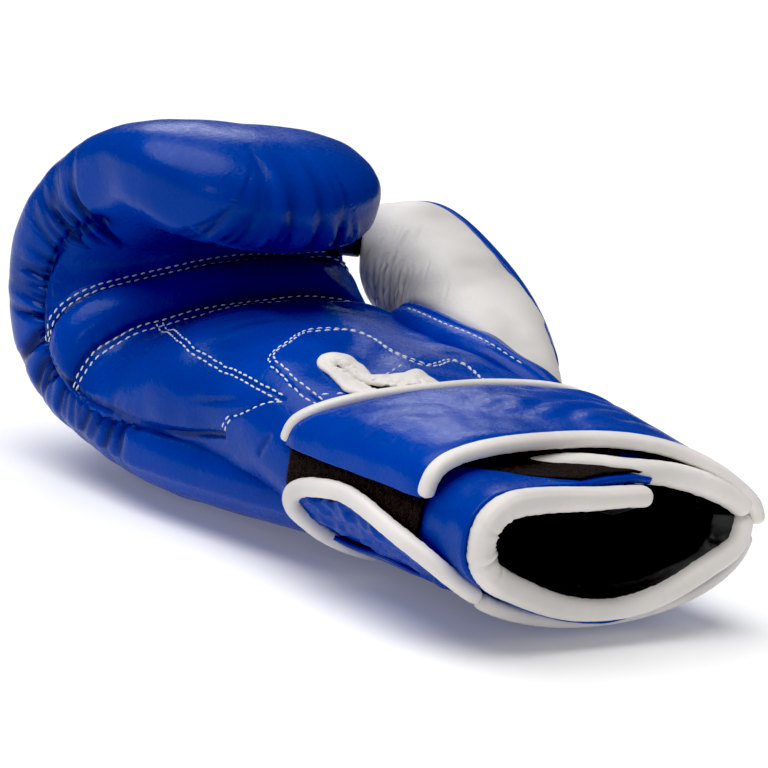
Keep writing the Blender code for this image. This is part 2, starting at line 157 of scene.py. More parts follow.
# Face of the flap below that edge
FLAP_ROWS = [
    [(-57.6, -72, 34.6), (-57, -80, 37), (-56.6, -92, 38.6), (-56.4, -104, 37.6), (-56, -117, 34.4),
     (-54.6, -130, 30.6)],
    [(-56.4, -70, 30), (-56, -80, 32.4), (-55.6, -92, 33), (-55.2, -104, 32), (-54, -117, 29.8),
     (-51.6, -132, 27)],
    [(-52, -70, 25.6), (-51.4, -80, 27), (-50.6, -92, 27.4), (-49.6, -104, 26.6), (-48, -117, 25),
     (-45, -134, 23)],
    [(-43, -70.5, 20.6), (-42, -80, 21.2), (-41, -92, 21.2), (-40, -104, 20.4), (-38, -118, 19),
     (-36, -136, 18.6)],
    [(-28, -71, 14.6), (-27, -80, 14.6), (-26, -92, 14.4), (-25, -104, 13.8), (-25, -119, 13.4),
     (-24, -138, 14)],
]
# Loop tape on the little-finger side of the wrist
TAPE_ROWS = [
    [(-51, -65, 58.4), (-49.4, -85, 58.6), (-48, -105, 58.2), (-46, -127, 57.6)],
    [(-57.2, -63.4, 50.4), (-56, -85, 51.4), (-54, -105, 51.2), (-52.2, -127, 50.6)],
    [(-58.3, -63.6, 42), (-57, -85, 43.4), (-55, -105, 43), (-53.8, -127, 42)],
    [(-57.6, -64, 34), (-55.6, -85, 34), (-53.8, -105, 33.6), (-53, -127, 33)],
    [(-50, -66, 26), (-48, -85, 27), (-46, -105, 27), (-45, -127, 27)],
]

# Rows of the palm skin past the flat of the hand, little-finger side to thumb side
BEND_ROW = [
    (-58, 42, 22), (-65.5, 40, 33), (-63, 38.5, 45), (-56, 36.5, 55), (-45, 34, 63.5), (-30, 31, 70),
    (-14, 27, 74.5), (2, 23.5, 77.5), (18, 20, 78.5), (31, 17.5, 77), (41, 16, 72.5), (48, 15, 63),
    (50.5, 15, 48), (50, 15, 34),
]
ROLL_BACK = [
    (-59, 58, 30), (-67.8, 56, 38.5), (-65, 55.6, 45.5), (-61.5, 54.8, 51), (-54, 52.8, 57), (-48, 51, 61),
    (-39, 48.7, 64.3), (-31.5, 47, 67), (-17, 43, 71.5), (-1, 39, 74.5), (14, 35, 76.6), (25, 32, 76.6),
    (33, 30, 75.6), (38, 29, 73), (41, 28.5, 68), (42.5, 28, 60), (43, 28, 48), (42, 29, 36),
]
ROLL_FRONT = [
    (-59, 76, 40), (-67.8, 75, 49), (-65.5, 74.7, 58), (-60, 73.3, 64.5), (-51, 70.7, 70),
    (-38, 67.5, 74.5), (-22.5, 63.5, 79), (-7, 59.6, 83), (8, 55.4, 85.5), (24, 51.3, 87), (38, 47.5, 86),
    (42.5, 46, 81.5), (44, 45, 73), (44.5, 44.5, 60), (44, 44, 50),
]
POCKET_ROWS = [
    [(-58, 84, 54), (-67, 82, 62), (-66, 81, 69), (-60, 79, 75), (-50, 75.5, 80), (-36, 71, 84),
     (-20, 66.5, 88), (-4, 62.5, 91), (12, 59, 93), (27, 56, 93.5), (37, 53, 91), (42, 51, 84),
     (44, 49, 74), (44, 48, 62)],
    [(-54, 82, 74), (-65, 83.5, 76), (-64, 81.5, 82), (-57, 76, 87.5), (-46, 70, 90.5), (-32, 64, 92.5),
     (-17, 60, 94.5), (-2, 57, 96), (13, 55, 97), (27, 53, 97), (36, 51, 94), (41, 50, 86), (42, 49, 76),
     (42, 49, 66)],
    [(-50, 76, 96), (-59, 77, 98), (-57, 73, 101), (-50, 68, 103), (-41, 63, 104), (-29, 59, 105),
     (-15, 56, 106), (-1, 53, 107), (13, 51, 107), (25, 50, 106), (33, 49, 102), (37, 49, 93),
     (38, 49, 82), (38, 49, 72)],
]

# Seam between the shell leather and the palm-side leathers
SHELL_SEAM = [
    (-57, -66, 50.5), (-57, -50, 47.5), (-58, -22, 41), (-59, 3, 35.5), (-63, 20, 34), (-66.5, 41, 35.5),
    (-67.5, 54, 38), (-68.5, 68, 45), (-67.5, 76, 51), (-66.5, 82, 64), (-66, 83, 73), (-65, 82, 79),
    (-63, 79, 85), (-61, 73, 91), (-58, 65, 95.5),
]


def spline(rows):
    """Natural cubic curve through rows of (t, values...), read at any array of t."""
    table = np.array(rows, float)
    t, v = table[:, 0], table[:, 1:]
    n = len(t)
    h = np.diff(t)
    lhs = np.eye(n)
    rhs = np.zeros_like(v)
    for i in range(1, n - 1):
        lhs[i, i - 1 : i + 2] = h[i - 1], 2 * (h[i - 1] + h[i]), h[i]
        rhs[i] = 3 * ((v[i + 1] - v[i]) / h[i] - (v[i] - v[i - 1]) / h[i - 1])
    c = np.linalg.solve(lhs, rhs)

    def at(x):
        x = np.clip(np.asarray(x, float), t[0], t[-1])
        i = np.clip(np.searchsorted(t, x) - 1, 0, n - 2)
        d = (x - t[i])[..., None]
        k = h[i][..., None]
        slope = (v[i + 1] - v[i]) / k - k * (2 * c[i] + c[i + 1]) / 3
        return v[i] + slope * d + c[i] * d * d + (c[i + 1] - c[i]) / (3 * k) * d**3

    return at


def unit(vectors):
    return vectors / np.maximum(np.linalg.norm(vectors, axis=-1, keepdims=True), 1e-9)


def run_of(line):
    """Length of a polyline up to each of its points."""
    return np.concatenate([[0], np.cumsum(np.linalg.norm(np.diff(line, axis=0), axis=1))])


def read_at(run, want, line):
    """Places along a polyline at these lengths."""
    return np.stack([np.interp(want, run, line[:, k]) for k in range(line.shape[1])], -1)


def spaced(points, count):
    """Smooth curve through points, read at even steps of its length."""
    points = np.array(points, float)
    t = run_of(points)
    fine = spline(np.column_stack([t, points]))(np.linspace(0, t[-1], 40 * len(points)))
    run = run_of(fine)
    return read_at(run, np.linspace(0, 1, count) * run[-1], fine)


def line_of(points, pitch=1.0):
    """Smooth curve through points with about one point every pitch."""
    length = run_of(np.array(points, float))[-1] * 1.03
    return spaced(points, max(int(length / pitch), 2) + 1)


def patch(table, across, along):
    """Smooth sheet through rows of points."""
    rows = np.array([spaced(row, across) for row in table])
    sheet = spline(np.column_stack([np.arange(float(len(rows))), rows.reshape(len(rows), -1)]))
    return sheet(np.linspace(0, len(rows) - 1, along)).reshape(along, across, 3)


TABLES = (FIST, PALM, BODY, HAND, THUMB, WRAP)
FIST_AT, PALM_AT, BODY_AT, HAND_AT, THUMB_AT, WRAP_AT = (spline(table) for table in TABLES)


def oval(angle, a, b, n):
    """Point of a superellipse, angle in degrees."""
    c, s = np.cos(np.radians(angle)), np.sin(np.radians(angle))
    return a * np.sign(c) * np.abs(c) ** (2 / n), b * np.sign(s) * np.abs(s) ** (2 / n)


def fist(s, angle, off=0.0):
    """Padded slab: 270 degrees is its outer face, 180 the little-finger edge."""
    s, angle = np.broadcast_arrays(np.asarray(s, float), np.asarray(angle, float))
    y, z, xc, a, b = np.moveaxis(FIST_AT(s), -1, 0)
    step = FIST_AT(np.minimum(s + 0.01, FIST_END)) - FIST_AT(np.minimum(s, FIST_END - 0.01) - 0.01)
    ty, tz = step[..., 0], step[..., 1]
    size = np.hypot(ty, tz)
    under = smooth((angle - 180) / 20) * smooth((360 - angle) / 20) * smooth((4.6 - s) / 2)
    across, out = oval(angle, a + off, b + off, FIST_N + 0.3 * smooth((s - 5.5) / 1.5) - UNDER_SOFT * under)
    x, ahead, up = xc + across, y - out * tz / size, np.maximum(z + out * ty / size, FLOOR - off)
    # the inner face leaves room for the hand
    hx, hz, ha, hb, hn = np.moveaxis(HAND_AT(ahead), -1, 0)
    share = np.clip(np.abs(x - hx) / ha, 0, 1)
    palm_low = hz - hb * (1 - share**hn) ** (1 / hn) - 1.5
    up = np.where((out > 0) & (s < 2.6) & (share < 1), np.minimum(up, palm_low), up)
    return np.stack([x, ahead, up], -1)


def heel(y, across, up, a, b):
    """Extra height of the upper thumb-side quarter, where the heel of the thumb fills the glove."""
    share = np.clip(across / (0.75 * a), 0, 1)
    rise = HEEL * np.exp(-(((y - HEEL_AT) / HEEL_SPREAD) ** 2))
    return rise * share * share * (3 - 2 * share) * np.maximum(up, 0) / b


def ring(at, y, angle, off=0.0):
    """Place round a body, the hand's room or the wrap: 90 degrees is the palm side, 0 the thumb side."""
    y, angle = np.broadcast_arrays(np.asarray(y, float), np.asarray(angle, float))
    xc, z, a, b, n = np.moveaxis(at(y), -1, 0)
    across, up = oval(angle, a + off, b + off, n)
    rise = heel(y, across, up, a, b) if at is PALM_AT else 0
    return np.stack([xc + across, y, z + up + rise], -1)


def thumb(s, angle, off=0.0):
    s, angle = np.broadcast_arrays(np.asarray(s, float), np.asarray(angle, float))
    x, y, z, a, b = np.moveaxis(THUMB_AT(s), -1, 0)
    along = unit((THUMB_AT(s + 0.01) - THUMB_AT(s - 0.01))[..., :3])
    side = unit(np.cross(along, [0.0, 0.0, 1.0]))
    lift = np.cross(side, along)
    p, q = oval(angle, a + off, b + off, 2.2)
    return np.stack([x, y, z], -1) + side * p[..., None] + lift * q[..., None]


def smooth(x):
    x = np.clip(x, 0, 1)
    return x * x * (3 - 2 * x)


def waves(points, size, seed, count=24):
    """Smooth random field of about unit strength, with features of about this size."""
    rng = np.random.default_rng(seed)
    ways = rng.normal(size=(count, 3))
    ways *= (2 * math.pi / size) / np.linalg.norm(ways, axis=1, keepdims=True)
    ways *= rng.uniform(0.6, 1.4, (count, 1))
    phase = rng.uniform(0, 2 * math.pi, count)
    total = np.zeros(points.shape[:-1])
    for way, start in zip(ways, phase):
        total += np.sin(points @ way + start)
    return total * math.sqrt(2 / count)


def to_line(points, line):
    """Distance to a polyline, and how far along it the nearest place is."""
    flat = points.reshape(-1, 3)
    best = np.full(len(flat), 1e9)
    along = np.zeros(len(flat))
    run = 0.0
    for a, b in zip(line[:-1], line[1:]):
        d = b - a
        size = np.linalg.norm(d)
        if size < 1e-9:
            continue
        rel = flat - a
        t = np.clip(rel @ d / size**2, 0, 1)
        dist = np.linalg.norm(rel - t[:, None] * d, axis=1)
        near = dist < best
        best[near] = dist[near]
        along[near] = run + t[near] * size
        run += size
    return best.reshape(points.shape[:-1]), along.reshape(points.shape[:-1])


def grid_normals(grid, closed=False):
    du = np.gradient(grid, axis=0)
    if closed:
        dv = np.roll(grid, -1, axis=1) - np.roll(grid, 1, axis=1)
    else:
        dv = np.gradient(grid, axis=1)
    return unit(np.cross(du, dv))


def groove(grid, line, depth, width):
    d, _ = to_line(grid, line)
    return -depth * np.exp(-((d / width) ** 2))


def crease(grid, line, depth, width, puff=0.35):
    """A fold that fades out at its ends, with a low ridge on each side."""
    d, t = to_line(grid, line)
    fade = np.sin(np.pi * np.clip(t / run_of(line)[-1], 0, 1)) ** 0.7
    ridge = puff * np.exp(-(((d - 2.1 * width) / (1.1 * width)) ** 2))
    return depth * fade * (ridge - np.exp(-((d / width) ** 2)))


def pleats(grid, line, seed, pitch, reach, depth, start=0.0, end=1.0):
    """Small gathers that run away from a seam, uneven in place, length and depth."""
    d, t = to_line(grid, line)
    total = run_of(line)[-1]
    rng = np.random.default_rng(seed)
    out = np.zeros(d.shape)
    lean = 0.5 * waves(grid, 26, seed + 1)
    at = start * total
    while at < end * total:
        wide = rng.uniform(0.28, 0.42) * pitch
        far = reach * rng.uniform(0.5, 1.4)
        deep = depth * rng.uniform(0.35, 1.0)
        drift = rng.uniform(-0.35, 0.35)
        away = (t - at - drift * d - lean * d / reach) / (wide * (1 + 0.5 * d / reach))
        fall = np.exp(-((d / far) ** 1.5)) * smooth((d + 0.6) / 2.5)
        out -= deep * np.exp(-(away**2)) * fall
        at += pitch * rng.uniform(0.7, 1.35)
    return out


# ---- building
def place(points):
    return (np.asarray(points, float) + SHIFT) * MM


def put(name, data):
    made = bpy.data.objects.new(name, data)
    bpy.context.scene.collection.objects.link(made)
    return made


def mesh_object(name, points, faces, look, painted_fold_shade=None):
    mesh = bpy.data.meshes.new(name)
    mesh.from_pydata(place(points).tolist(), [], [list(map(int, f)) for f in faces])
    mesh.update()
    mesh.shade_smooth()
    mesh.materials.append(look)
    # per-point share of painted fold shade, read by the leather's colour
    if painted_fold_shade is not None:
        layer = mesh.attributes.new("painted_fold_shade", "FLOAT", "POINT")
        layer.data.foreach_set("value", np.asarray(painted_fold_shade, np.float32).ravel())
    return put(name, mesh)


def quads(rows, cols, closed=False, start=0, flip=False):
    i, j = np.meshgrid(np.arange(rows - 1), np.arange(cols if closed else cols - 1), indexing="ij")
    k = (j + 1) % cols
    face = np.stack([i * cols + j, (i + 1) * cols + j, (i + 1) * cols + k, i * cols + k], -1).reshape(-1, 4)
    return (face[:, ::-1] if flip else face) + start


def closed_tube(name, grid, look, painted_fold_shade):
    """Loft of closed rings with a flat face at each end."""
    rows, cols = grid.shape[:2]
    faces = [list(f) for f in quads(rows, cols, closed=True)]
    faces.append(list(range(cols)))
    faces.append([(rows - 1) * cols + j for j in range(cols)][::-1])
    return mesh_object(name, grid.reshape(-1, 3), faces, look, painted_fold_shade)


def shell(name, grid, look, thick, flip=False):
    """Closed sheet: a grid of points and the same grid moved in along its normals."""
    n = grid_normals(grid) * (-1 if flip else 1)
    back = grid - n * thick
    rows, cols = grid.shape[:2]
    count = rows * cols
    points = np.concatenate([grid.reshape(-1, 3), back.reshape(-1, 3)])
    top = quads(rows, cols, flip=flip)
    low = quads(rows, cols, start=count, flip=not flip)
    border = [(i, 0) for i in range(rows)] + [(rows - 1, j) for j in range(1, cols)]
    border += [(i, cols - 1) for i in range(rows - 2, -1, -1)] + [(0, j) for j in range(cols - 2, 0, -1)]
    index = [i * cols + j for i, j in border]
    side = []
    for a, b in zip(index, index[1:] + index[:1]):
        side.append([a, b, b + count, a + count] if flip else [b, a, a + count, b + count])
    return mesh_object(name, points, np.concatenate([top, low, np.array(side)]), look)


def sweep(name, path, normal, wide, high, look, sides=24, power=2.3, ripple=None, tip=True):
    """Rolled leather edge: an oval section carried along a path, wide across it and high along the normal."""
    count = len(path)
    along = unit(np.gradient(path, axis=0))
    normal = unit(normal - (normal * along).sum(1, keepdims=True) * along)
    side = np.cross(along, normal)
    angle = np.linspace(0, 360, sides, endpoint=False)
    p, q = oval(angle, 1.0, 1.0, power)
    run = run_of(path)
    w, h = (np.broadcast_to(np.asarray(size, float), (count,))[:, None] for size in (wide, high))
    size = np.ones((count, sides))
    if ripple is not None:
        size = 1 + ripple(run[:, None], angle[None, :])
    if tip:
        away = np.clip(np.minimum(run, run[-1] - run) / (0.9 * np.mean(h)), 0, 1)
        size = size * np.sqrt(np.clip(1 - (1 - away) ** 2, 0.0025, 1))[:, None]
    rings = path[:, None] + side[:, None] * (p * w * size)[..., None]
    rings = rings + normal[:, None] * (q * h * size)[..., None]
    points = np.concatenate([rings.reshape(-1, 3), [path[0], path[-1]]])
    faces = [list(f) for f in quads(count, sides, closed=True)]
    first, last = count * sides, count * sides + 1
    for j in range(sides):
        k = (j + 1) % sides
        faces.append([first, j, k])
        faces.append([last, (count - 1) * sides + k, (count - 1) * sides + j])
    return mesh_object(name, points, faces, look)


def tree_of(obj):
    obj.data.calc_loop_triangles()
    points = np.array([v.co for v in obj.data.vertices], np.float32) / MM - SHIFT
    return BVHTree.FromPolygons(points.tolist(), [tuple(t.vertices) for t in obj.data.loop_triangles])


def onto(tree, points):
    """Nearest places and normals on a surface."""
    spots, normals = [], []
    for p in points:
        spot, normal, _, _ = tree.find_nearest(Vector(p))
        spots.append(tuple(spot))
        normals.append(tuple(normal))
    normals = np.array(normals)
    for _ in range(3):
        if len(normals) > 4:
            normals[1:-1] = (normals[:-2] + 2 * normals[1:-1] + normals[2:]) / 4
    return np.array(spots), unit(normals)


STITCH_POINTS, STITCH_FACES = [], []
STITCH_PITCH = 3.2
STITCH_LONG = 2.5
THREAD_WIDE = 0.36
ACROSS = np.array([0.78, -0.63, 0])      # rows stand wider apart where a seam runs this way
BEAD_RINGS = [(-1.0, 0.15), (-0.8, 0.62), (-0.35, 1.0), (0.35, 1.0), (0.8, 0.62), (1.0, 0.15)]


def bead(middle, along, normal, length, wide, high):
    """One stitch of thick thread, pulled into the leather at both ends."""
    side = np.cross(normal, along)
    start = sum(len(p) for p in STITCH_POINTS)
    rings = []
    for t, r in BEAD_RINGS:
        centre = middle + along * (t * length / 2) + normal * (0.22 * high - 0.85 * high * t * t)
        for k in range(6):
            turn = math.pi * k / 3
            rings.append(centre + side * (wide * r * math.cos(turn)) + normal * (high * r * math.sin(turn)))
    STITCH_POINTS.append(np.array(rings))
    count = len(BEAD_RINGS)
    for i in range(count - 1):
        for j in range(6):
            k = (j + 1) % 6
            a = start + i * 6
            STITCH_FACES.append([a + j, a + k, a + 6 + k, a + 6 + j])
    STITCH_FACES.append([start + 5 - j for j in range(6)])
    STITCH_FACES.append([start + (count - 1) * 6 + j for j in range(6)])


def stitch(tree, points, offset=0.0, spread=0.0, slant=0.0):
    """Row of stitches on a surface, moved sideways by offset."""
    line, normal = onto(tree, line_of(points, 1.2))
    along = unit(np.gradient(line, axis=0))
    side = np.cross(normal, along)
    cross = (along @ ACROSS)[:, None] ** 4
    line, normal = onto(tree, line + side * offset * (1 + spread * cross))
    run = run_of(line)
    count = int(run[-1] / STITCH_PITCH)
    rng = np.random.default_rng(int(1000 * run[-1]) % 9973)
    for k in range(count):
        t = (k + 0.5) * run[-1] / count + rng.uniform(-0.12, 0.12)
        n = unit(read_at(run, t, normal))
        way = read_at(run, t + STITCH_LONG / 2, line) - read_at(run, t - STITCH_LONG / 2, line)
        way = unit(way - (way @ n) * n)
        tilt = slant + rng.uniform(-0.06, 0.06)
        way = way * math.cos(tilt) + np.cross(n, way) * math.sin(tilt)
        long = STITCH_LONG * rng.uniform(0.92, 1.06)
        bead(read_at(run, t, line), way, n, long, THREAD_WIDE, THREAD_WIDE * 0.8)


def double(tree, points, half=1.15, **more):
    stitch(tree, points, half, **more)
    stitch(tree, points, -half, **more)


# ---- materials
def fill_in(node, **values):
    """Set a node's inputs: their names are written with _ for a space."""
    for key, value in values.items():
        node.inputs[key.replace("_", " ")].default_value = value


def blank(name):
    """New node material, with its shader and a maker of noises in the object's own measure."""
    made = bpy.data.materials.new(name)
    made.use_nodes = True
    nodes, link = made.node_tree.nodes, made.node_tree.links.new
    where = nodes.new("ShaderNodeTexCoord")

    def noise(scale, detail=2, kind="ShaderNodeTexNoise"):
        node = nodes.new(kind)
        fill_in(node, Scale=scale, Detail=detail)
        link(where.outputs["Object"], node.inputs["Vector"])
        return node

    return made, nodes, link, nodes["Principled BSDF"], noise


def bumps(nodes, link, shader, layers):
    """Heights laid over one another: (socket, strength, metres)."""
    below = None
    for socket, strength, reach in layers:
        bump = nodes.new("ShaderNodeBump")
        fill_in(bump, Strength=strength, Distance=reach)
        link(socket, bump.inputs["Height"])
        if below:
            link(below.outputs["Normal"], bump.inputs["Normal"])
        below = bump
    link(below.outputs["Normal"], shader.inputs["Normal"])


def leather(name, colour, deep, rough, grain=1.0, spot=0.35):
    """Grained leather, with shade painted into its folds: the deep colour is mixed in where the mesh marks
    fold shade.
    """
    made, nodes, link, shader, noise = blank(name)

    def remap(socket, from_min, from_max, to_min, to_max):
        node = nodes.new("ShaderNodeMapRange")
        fill_in(node, From_Min=from_min, From_Max=from_max, To_Min=to_min, To_Max=to_max)
        link(socket, node.inputs["Value"])
        return node.outputs["Result"]

    def mix(factor, one, two):
        node = nodes.new("ShaderNodeMix")
        node.data_type = "RGBA"
        for key, value in (("A", one), ("B", two)):
            socket = [s for s in node.inputs if s.name == key and s.type == "RGBA"][0]
            if isinstance(value, tuple):
                socket.default_value = (*value, 1)
            else:
                link(value, socket)
        link(factor, node.inputs["Factor"])
        return [s for s in node.outputs if s.type == "RGBA"][0]

    light = tuple(min(1, c * 1.12) for c in colour)
    dark = tuple(c * 0.86 for c in colour)
    base = mix(remap(noise(16, 3).outputs["Fac"], 0.35, 0.65, 0, 1), dark, light)
    # painted shade: the deep colour goes over the base colour where the mesh's per-point fold mark is high
    painted_fold_shade = nodes.new("ShaderNodeAttribute")
    painted_fold_shade.attribute_name = "painted_fold_shade"
    base = mix(remap(painted_fold_shade.outputs["Fac"], 0, 1, 0, 0.75), base, deep)
    link(base, shader.inputs["Base Color"])
    fine = noise(420, 4).outputs["Fac"]
    link(remap(fine, 0.3, 0.7, rough - 0.05, rough + 0.08), shader.inputs["Roughness"])
    pebble = noise(850, 0, "ShaderNodeTexVoronoi")
    pebble.feature = "SMOOTH_F1"
    bumps(nodes, link, shader, (
        (noise(130, 5).outputs["Fac"], 0.28 * grain, 0.0007),
        (pebble.outputs["Distance"], 0.30 * grain, 0.00022),
        (noise(1900, 3).outputs["Fac"], 0.22 * grain, 0.00012),
    ))
    fill_in(shader, Specular_IOR_Level=spot)
    return made


def cloth(name, colour, rough, scale, strength, sheen, spot=0.15):
    """Napped tape or satin."""
    made, nodes, link, shader, noise = blank(name)
    grain = noise(scale).outputs["Fac"]
    ramp = nodes.new("ShaderNodeValToRGB")
    for stop, place_at, share in zip(ramp.color_ramp.elements, (0.3, 0.75), (0.45, 1.5)):
        stop.position = place_at
        stop.color = (*[min(1, c * share) for c in colour], 1)
    link(grain, ramp.inputs["Fac"])
    link(ramp.outputs["Color"], shader.inputs["Base Color"])
    bumps(nodes, link, shader, [(grain, strength, 0.0006)])
    fill_in(shader, Specular_IOR_Level=spot, Roughness=rough, Sheen_Weight=sheen, Sheen_Roughness=0.4)
    return made


# the second colour of each leather is the painted shade of its folds, used on meshes that carry a fold mark
BLUE = leather("blue_leather", (0.0, 0.050, 0.385), (0.0, 0.005, 0.060), 0.27, spot=0.17)
WHITE = leather("white_leather", (0.72, 0.695, 0.665), (0.34, 0.31, 0.29), 0.5, grain=0.8)
PIPING = leather("white_piping", (0.84, 0.80, 0.765), (0.45, 0.40, 0.36), 0.46, grain=0.45)
THREAD = leather("thread", (0.78, 0.80, 0.86), (0.5, 0.5, 0.55), 0.7, grain=0.3, spot=0.2)
NAVY = leather("navy_leather", (0.004, 0.008, 0.045), (0.002, 0.003, 0.01), 0.45)
SATIN = cloth("black_satin", (0.006, 0.0055, 0.006), 0.34, 1100, 0.12, 0.1, spot=0.4)
TAPE = cloth("loop_tape", (0.019, 0.0145, 0.013), 0.95, 1500, 1.0, 0.03)
HOOKS = cloth("hook_tape", (0.012, 0.012, 0.012), 0.7, 1300, 0.9, 0.0)


# ---- shell of the fist
def density(marks, count):
    """Uneven steps: marks are (value, steps per unit) in rising value."""
    xs = np.array([m[0] for m in marks], float)
    ds = np.array([m[1] for m in marks], float)
    fine = np.linspace(xs[0], xs[-1], 4000)
    weight = np.interp(fine, xs, ds)
    total = np.concatenate([[0], np.cumsum((weight[1:] + weight[:-1]) / 2 * np.diff(fine))])
    return np.interp(np.linspace(0, total[-1], count), total, fine)


NOSE_FROM = 8.75                # station where the slab's round end starts
NOSE_LONG = 22.5
NOSE_ROUND = 2.3
NOSE_SLIM = 0.65                # how fast the nose goes on narrowing
NOSE_RING = 22                  # ring of the nose that its gathers run from
GATHERED_FROM = 20              # the shell's seam is gathered past this y, round the end of the fist
SLIM = -1.0
STATION_MARKS = [(0, 0.5), (1.5, 0.6), (2.8, 1.2), (3.4, 2.4), (7.0, 2.4), (7.4, 1.4), (NOSE_FROM, 1.6)]
ANGLE_MARKS = [(0, 0.9), (12, 0.3), (140, 0.35), (172, 1.9), (225, 1.9), (255, 0.95), (360, 1.0)]
shell_s, shell_v = density(STATION_MARKS, 260), density(ANGLE_MARKS, 326)[:-1]
shell_grid = fist(shell_s[:, None], shell_v[None, :], SLIM)
y9, z9, x9, a9, b9 = FIST_AT(NOSE_FROM)
step9 = FIST_AT(NOSE_FROM + 0.01) - FIST_AT(NOSE_FROM - 0.01)
size9 = math.hypot(step9[0], step9[1])
way9 = np.array([0, step9[0], step9[1]]) / size9
out9 = np.array([0, -way9[2], way9[1]])
slope9 = NOSE_SLIM * step9 / size9
nose = []
for turn in np.radians(np.linspace(0, 87, 52)[1:]):
    shrink = (1 - math.sin(turn) ** NOSE_ROUND) ** (1 / NOSE_ROUND)
    far = NOSE_LONG * math.sin(turn)
    across, out = oval(shell_v, a9 + SLIM + slope9[3] * far, b9 + SLIM + slope9[4] * far, FIST_N + 0.3)
    middle = np.array([x9 + slope9[2] * far - 1.5 * (1 - shrink), y9, z9 - 2.0 * (1 - shrink)]) + way9 * far
    nose.append(middle + (across * shrink)[:, None] * np.array([1.0, 0, 0]) + (out * shrink)[:, None] * out9)
nose = np.array(nose)
lower = nose[NOSE_RING][(shell_v > 20) & (shell_v < 160)]
shell_grid = np.concatenate([shell_grid, nose])


def set_back(points, late):
    """Draw the corners of the curled fist in towards the knuckles."""
    side = (points[..., 0] - x9) / a9
    amount = np.where(side > 0, 2.5, 13.0) * np.minimum(np.abs(side), 1.2) ** 2.6
    return points - way9 * (amount * late)[..., None]


late = np.concatenate([smooth((shell_s - 6.3) / 2.5), np.ones(len(nose))])[:, None]
shell_grid = set_back(shell_grid, late)
NOSE_LINE = set_back(lower, 1.0)[::4]
seam = line_of(SHELL_SEAM, 1.5)
gathered = seam[seam[:, 1] > GATHERED_FROM]
broad = 0.35 * waves(shell_grid, 60, 3) + 0.1 * waves(shell_grid, 17, 4)
lift = groove(shell_grid, seam, 1.6, 1.6)
lift = lift + pleats(shell_grid, gathered, 11, 3.4, 15, 3.1)
lift = lift + pleats(shell_grid, NOSE_LINE, 12, 3.2, 15, 1.2) + pleats(shell_grid, NOSE_LINE, 13, 6.5, 22, 0.9)
above = shell_grid[..., 2] > FLOOR + 0.4
# painted shade: the seam groove and the gathers are also darkened in colour, more where they sink deeper
shell_fold_shade = np.clip(-lift * above / 1.7, 0, 1)
moved = grid_normals(shell_grid, closed=True) * ((lift + broad) * above)[..., None]
shell_skin = closed_tube("fist_shell", shell_grid + moved, BLUE, shell_fold_shade)


# ---- palm skin, in the pieces that it is sewn from
COLS = 260
SHARES = np.linspace(0, 1, COLS)
palm_angles = np.linspace(210, -30, 90)
rows_in = [spaced(ring(PALM_AT, y, palm_angles), COLS) for y in (-96, -82, -68, -55, -42, -28, -14, 0, 12)]
back, front = spaced(ROLL_BACK, COLS), spaced(ROLL_FRONT, COLS)
rows_in += [spaced(BEND_ROW, COLS), back]
BACK_AT = len(rows_in) - 1
across = front - back
out = unit(np.cross(np.gradient((front + back) / 2, axis=0), across))
ends = smooth((SHARES - 0.03) / 0.12) * smooth((0.77 - SHARES) / 0.1)
for share in (0.25, 0.5, 0.75):
    bulge = 5.6 * math.sin(math.pi * share) ** 0.8 * ends
    rows_in.append(back + across * share + out * bulge[:, None])
rows_in.append(front)
FRONT_AT = len(rows_in) - 1
rows_in += [spaced(row, COLS) for row in POCKET_ROWS]
rows_in = np.array(rows_in)
gap = np.linalg.norm(np.diff(rows_in, axis=0), axis=2).mean(axis=1)
knots = np.concatenate([[0], np.cumsum(gap)])
surface = spline(np.column_stack([knots, rows_in.reshape(len(rows_in), -1)]))
ROW_BACK, ROW_FRONT = 200, 264
palm_at = np.concatenate([
    np.linspace(knots[0], knots[BACK_AT], ROW_BACK + 1),
    np.linspace(knots[BACK_AT], knots[FRONT_AT], ROW_FRONT - ROW_BACK + 1)[1:],
    np.linspace(knots[FRONT_AT], knots[-1], 81)[1:],
])
palm_all = surface(palm_at).reshape(len(palm_at), COLS, 3)


def inside(grid, outline):
    """Points whose x and y lie inside a closed outline."""
    x, y = grid[..., 0], grid[..., 1]
    hit = np.zeros(x.shape, bool)
    for (x0, y0), (x1, y1) in zip(outline, np.roll(outline, -1, axis=0)):
        if y0 != y1:
            hit ^= ((y0 > y) != (y1 > y)) & (x < (x1 - x0) * (y - y0) / (y1 - y0) + x0)
    return hit


DIAGONAL = [
    (-39, 48.6, 64), (-46, 32, 66), (-52, 17, 66), (-54, 5, 65), (-53.2, -18, 62), (-52.6, -36, 60.4),
    (-52, -47, 59.8),
]
BACK_SEAM = [(-52, -48, 59.8), (-54, -43, 58), (-57, -35.6, 53.3), (-58.2, -29, 49.5)]
BACK_END = [(-58.2, -28.4, 49), (-58.5, -25.8, 45.6), (-58.6, -24.6, 42)]
DART = [(-58.2, -50, 47.5), (-58.3, -46.5, 41.3)]
SLIT_LOOP = [
    (-45.5, -69, 60), (-46, -55, 62), (-47, -46.2, 64.5), (-46.6, -39, 66.3), (-45.6, -31, 68.3),
    (-41.6, -26, 70.3), (-34.5, -24, 73.3), (-23, -18.5, 75.5), (-14.5, -21, 76.6), (-6, -23, 76.4),
    (-3.8, -28.5, 75.7), (-4.1, -37.5, 74.2), (-2.4, -46, 72.7), (-0.3, -50.7, 71.9), (7.7, -51.6, 71.4),
    (18.5, -48.4, 71.4), (20.4, -53.5, 70.4), (19.7, -60.5, 68.9), (16.6, -72, 67),
]
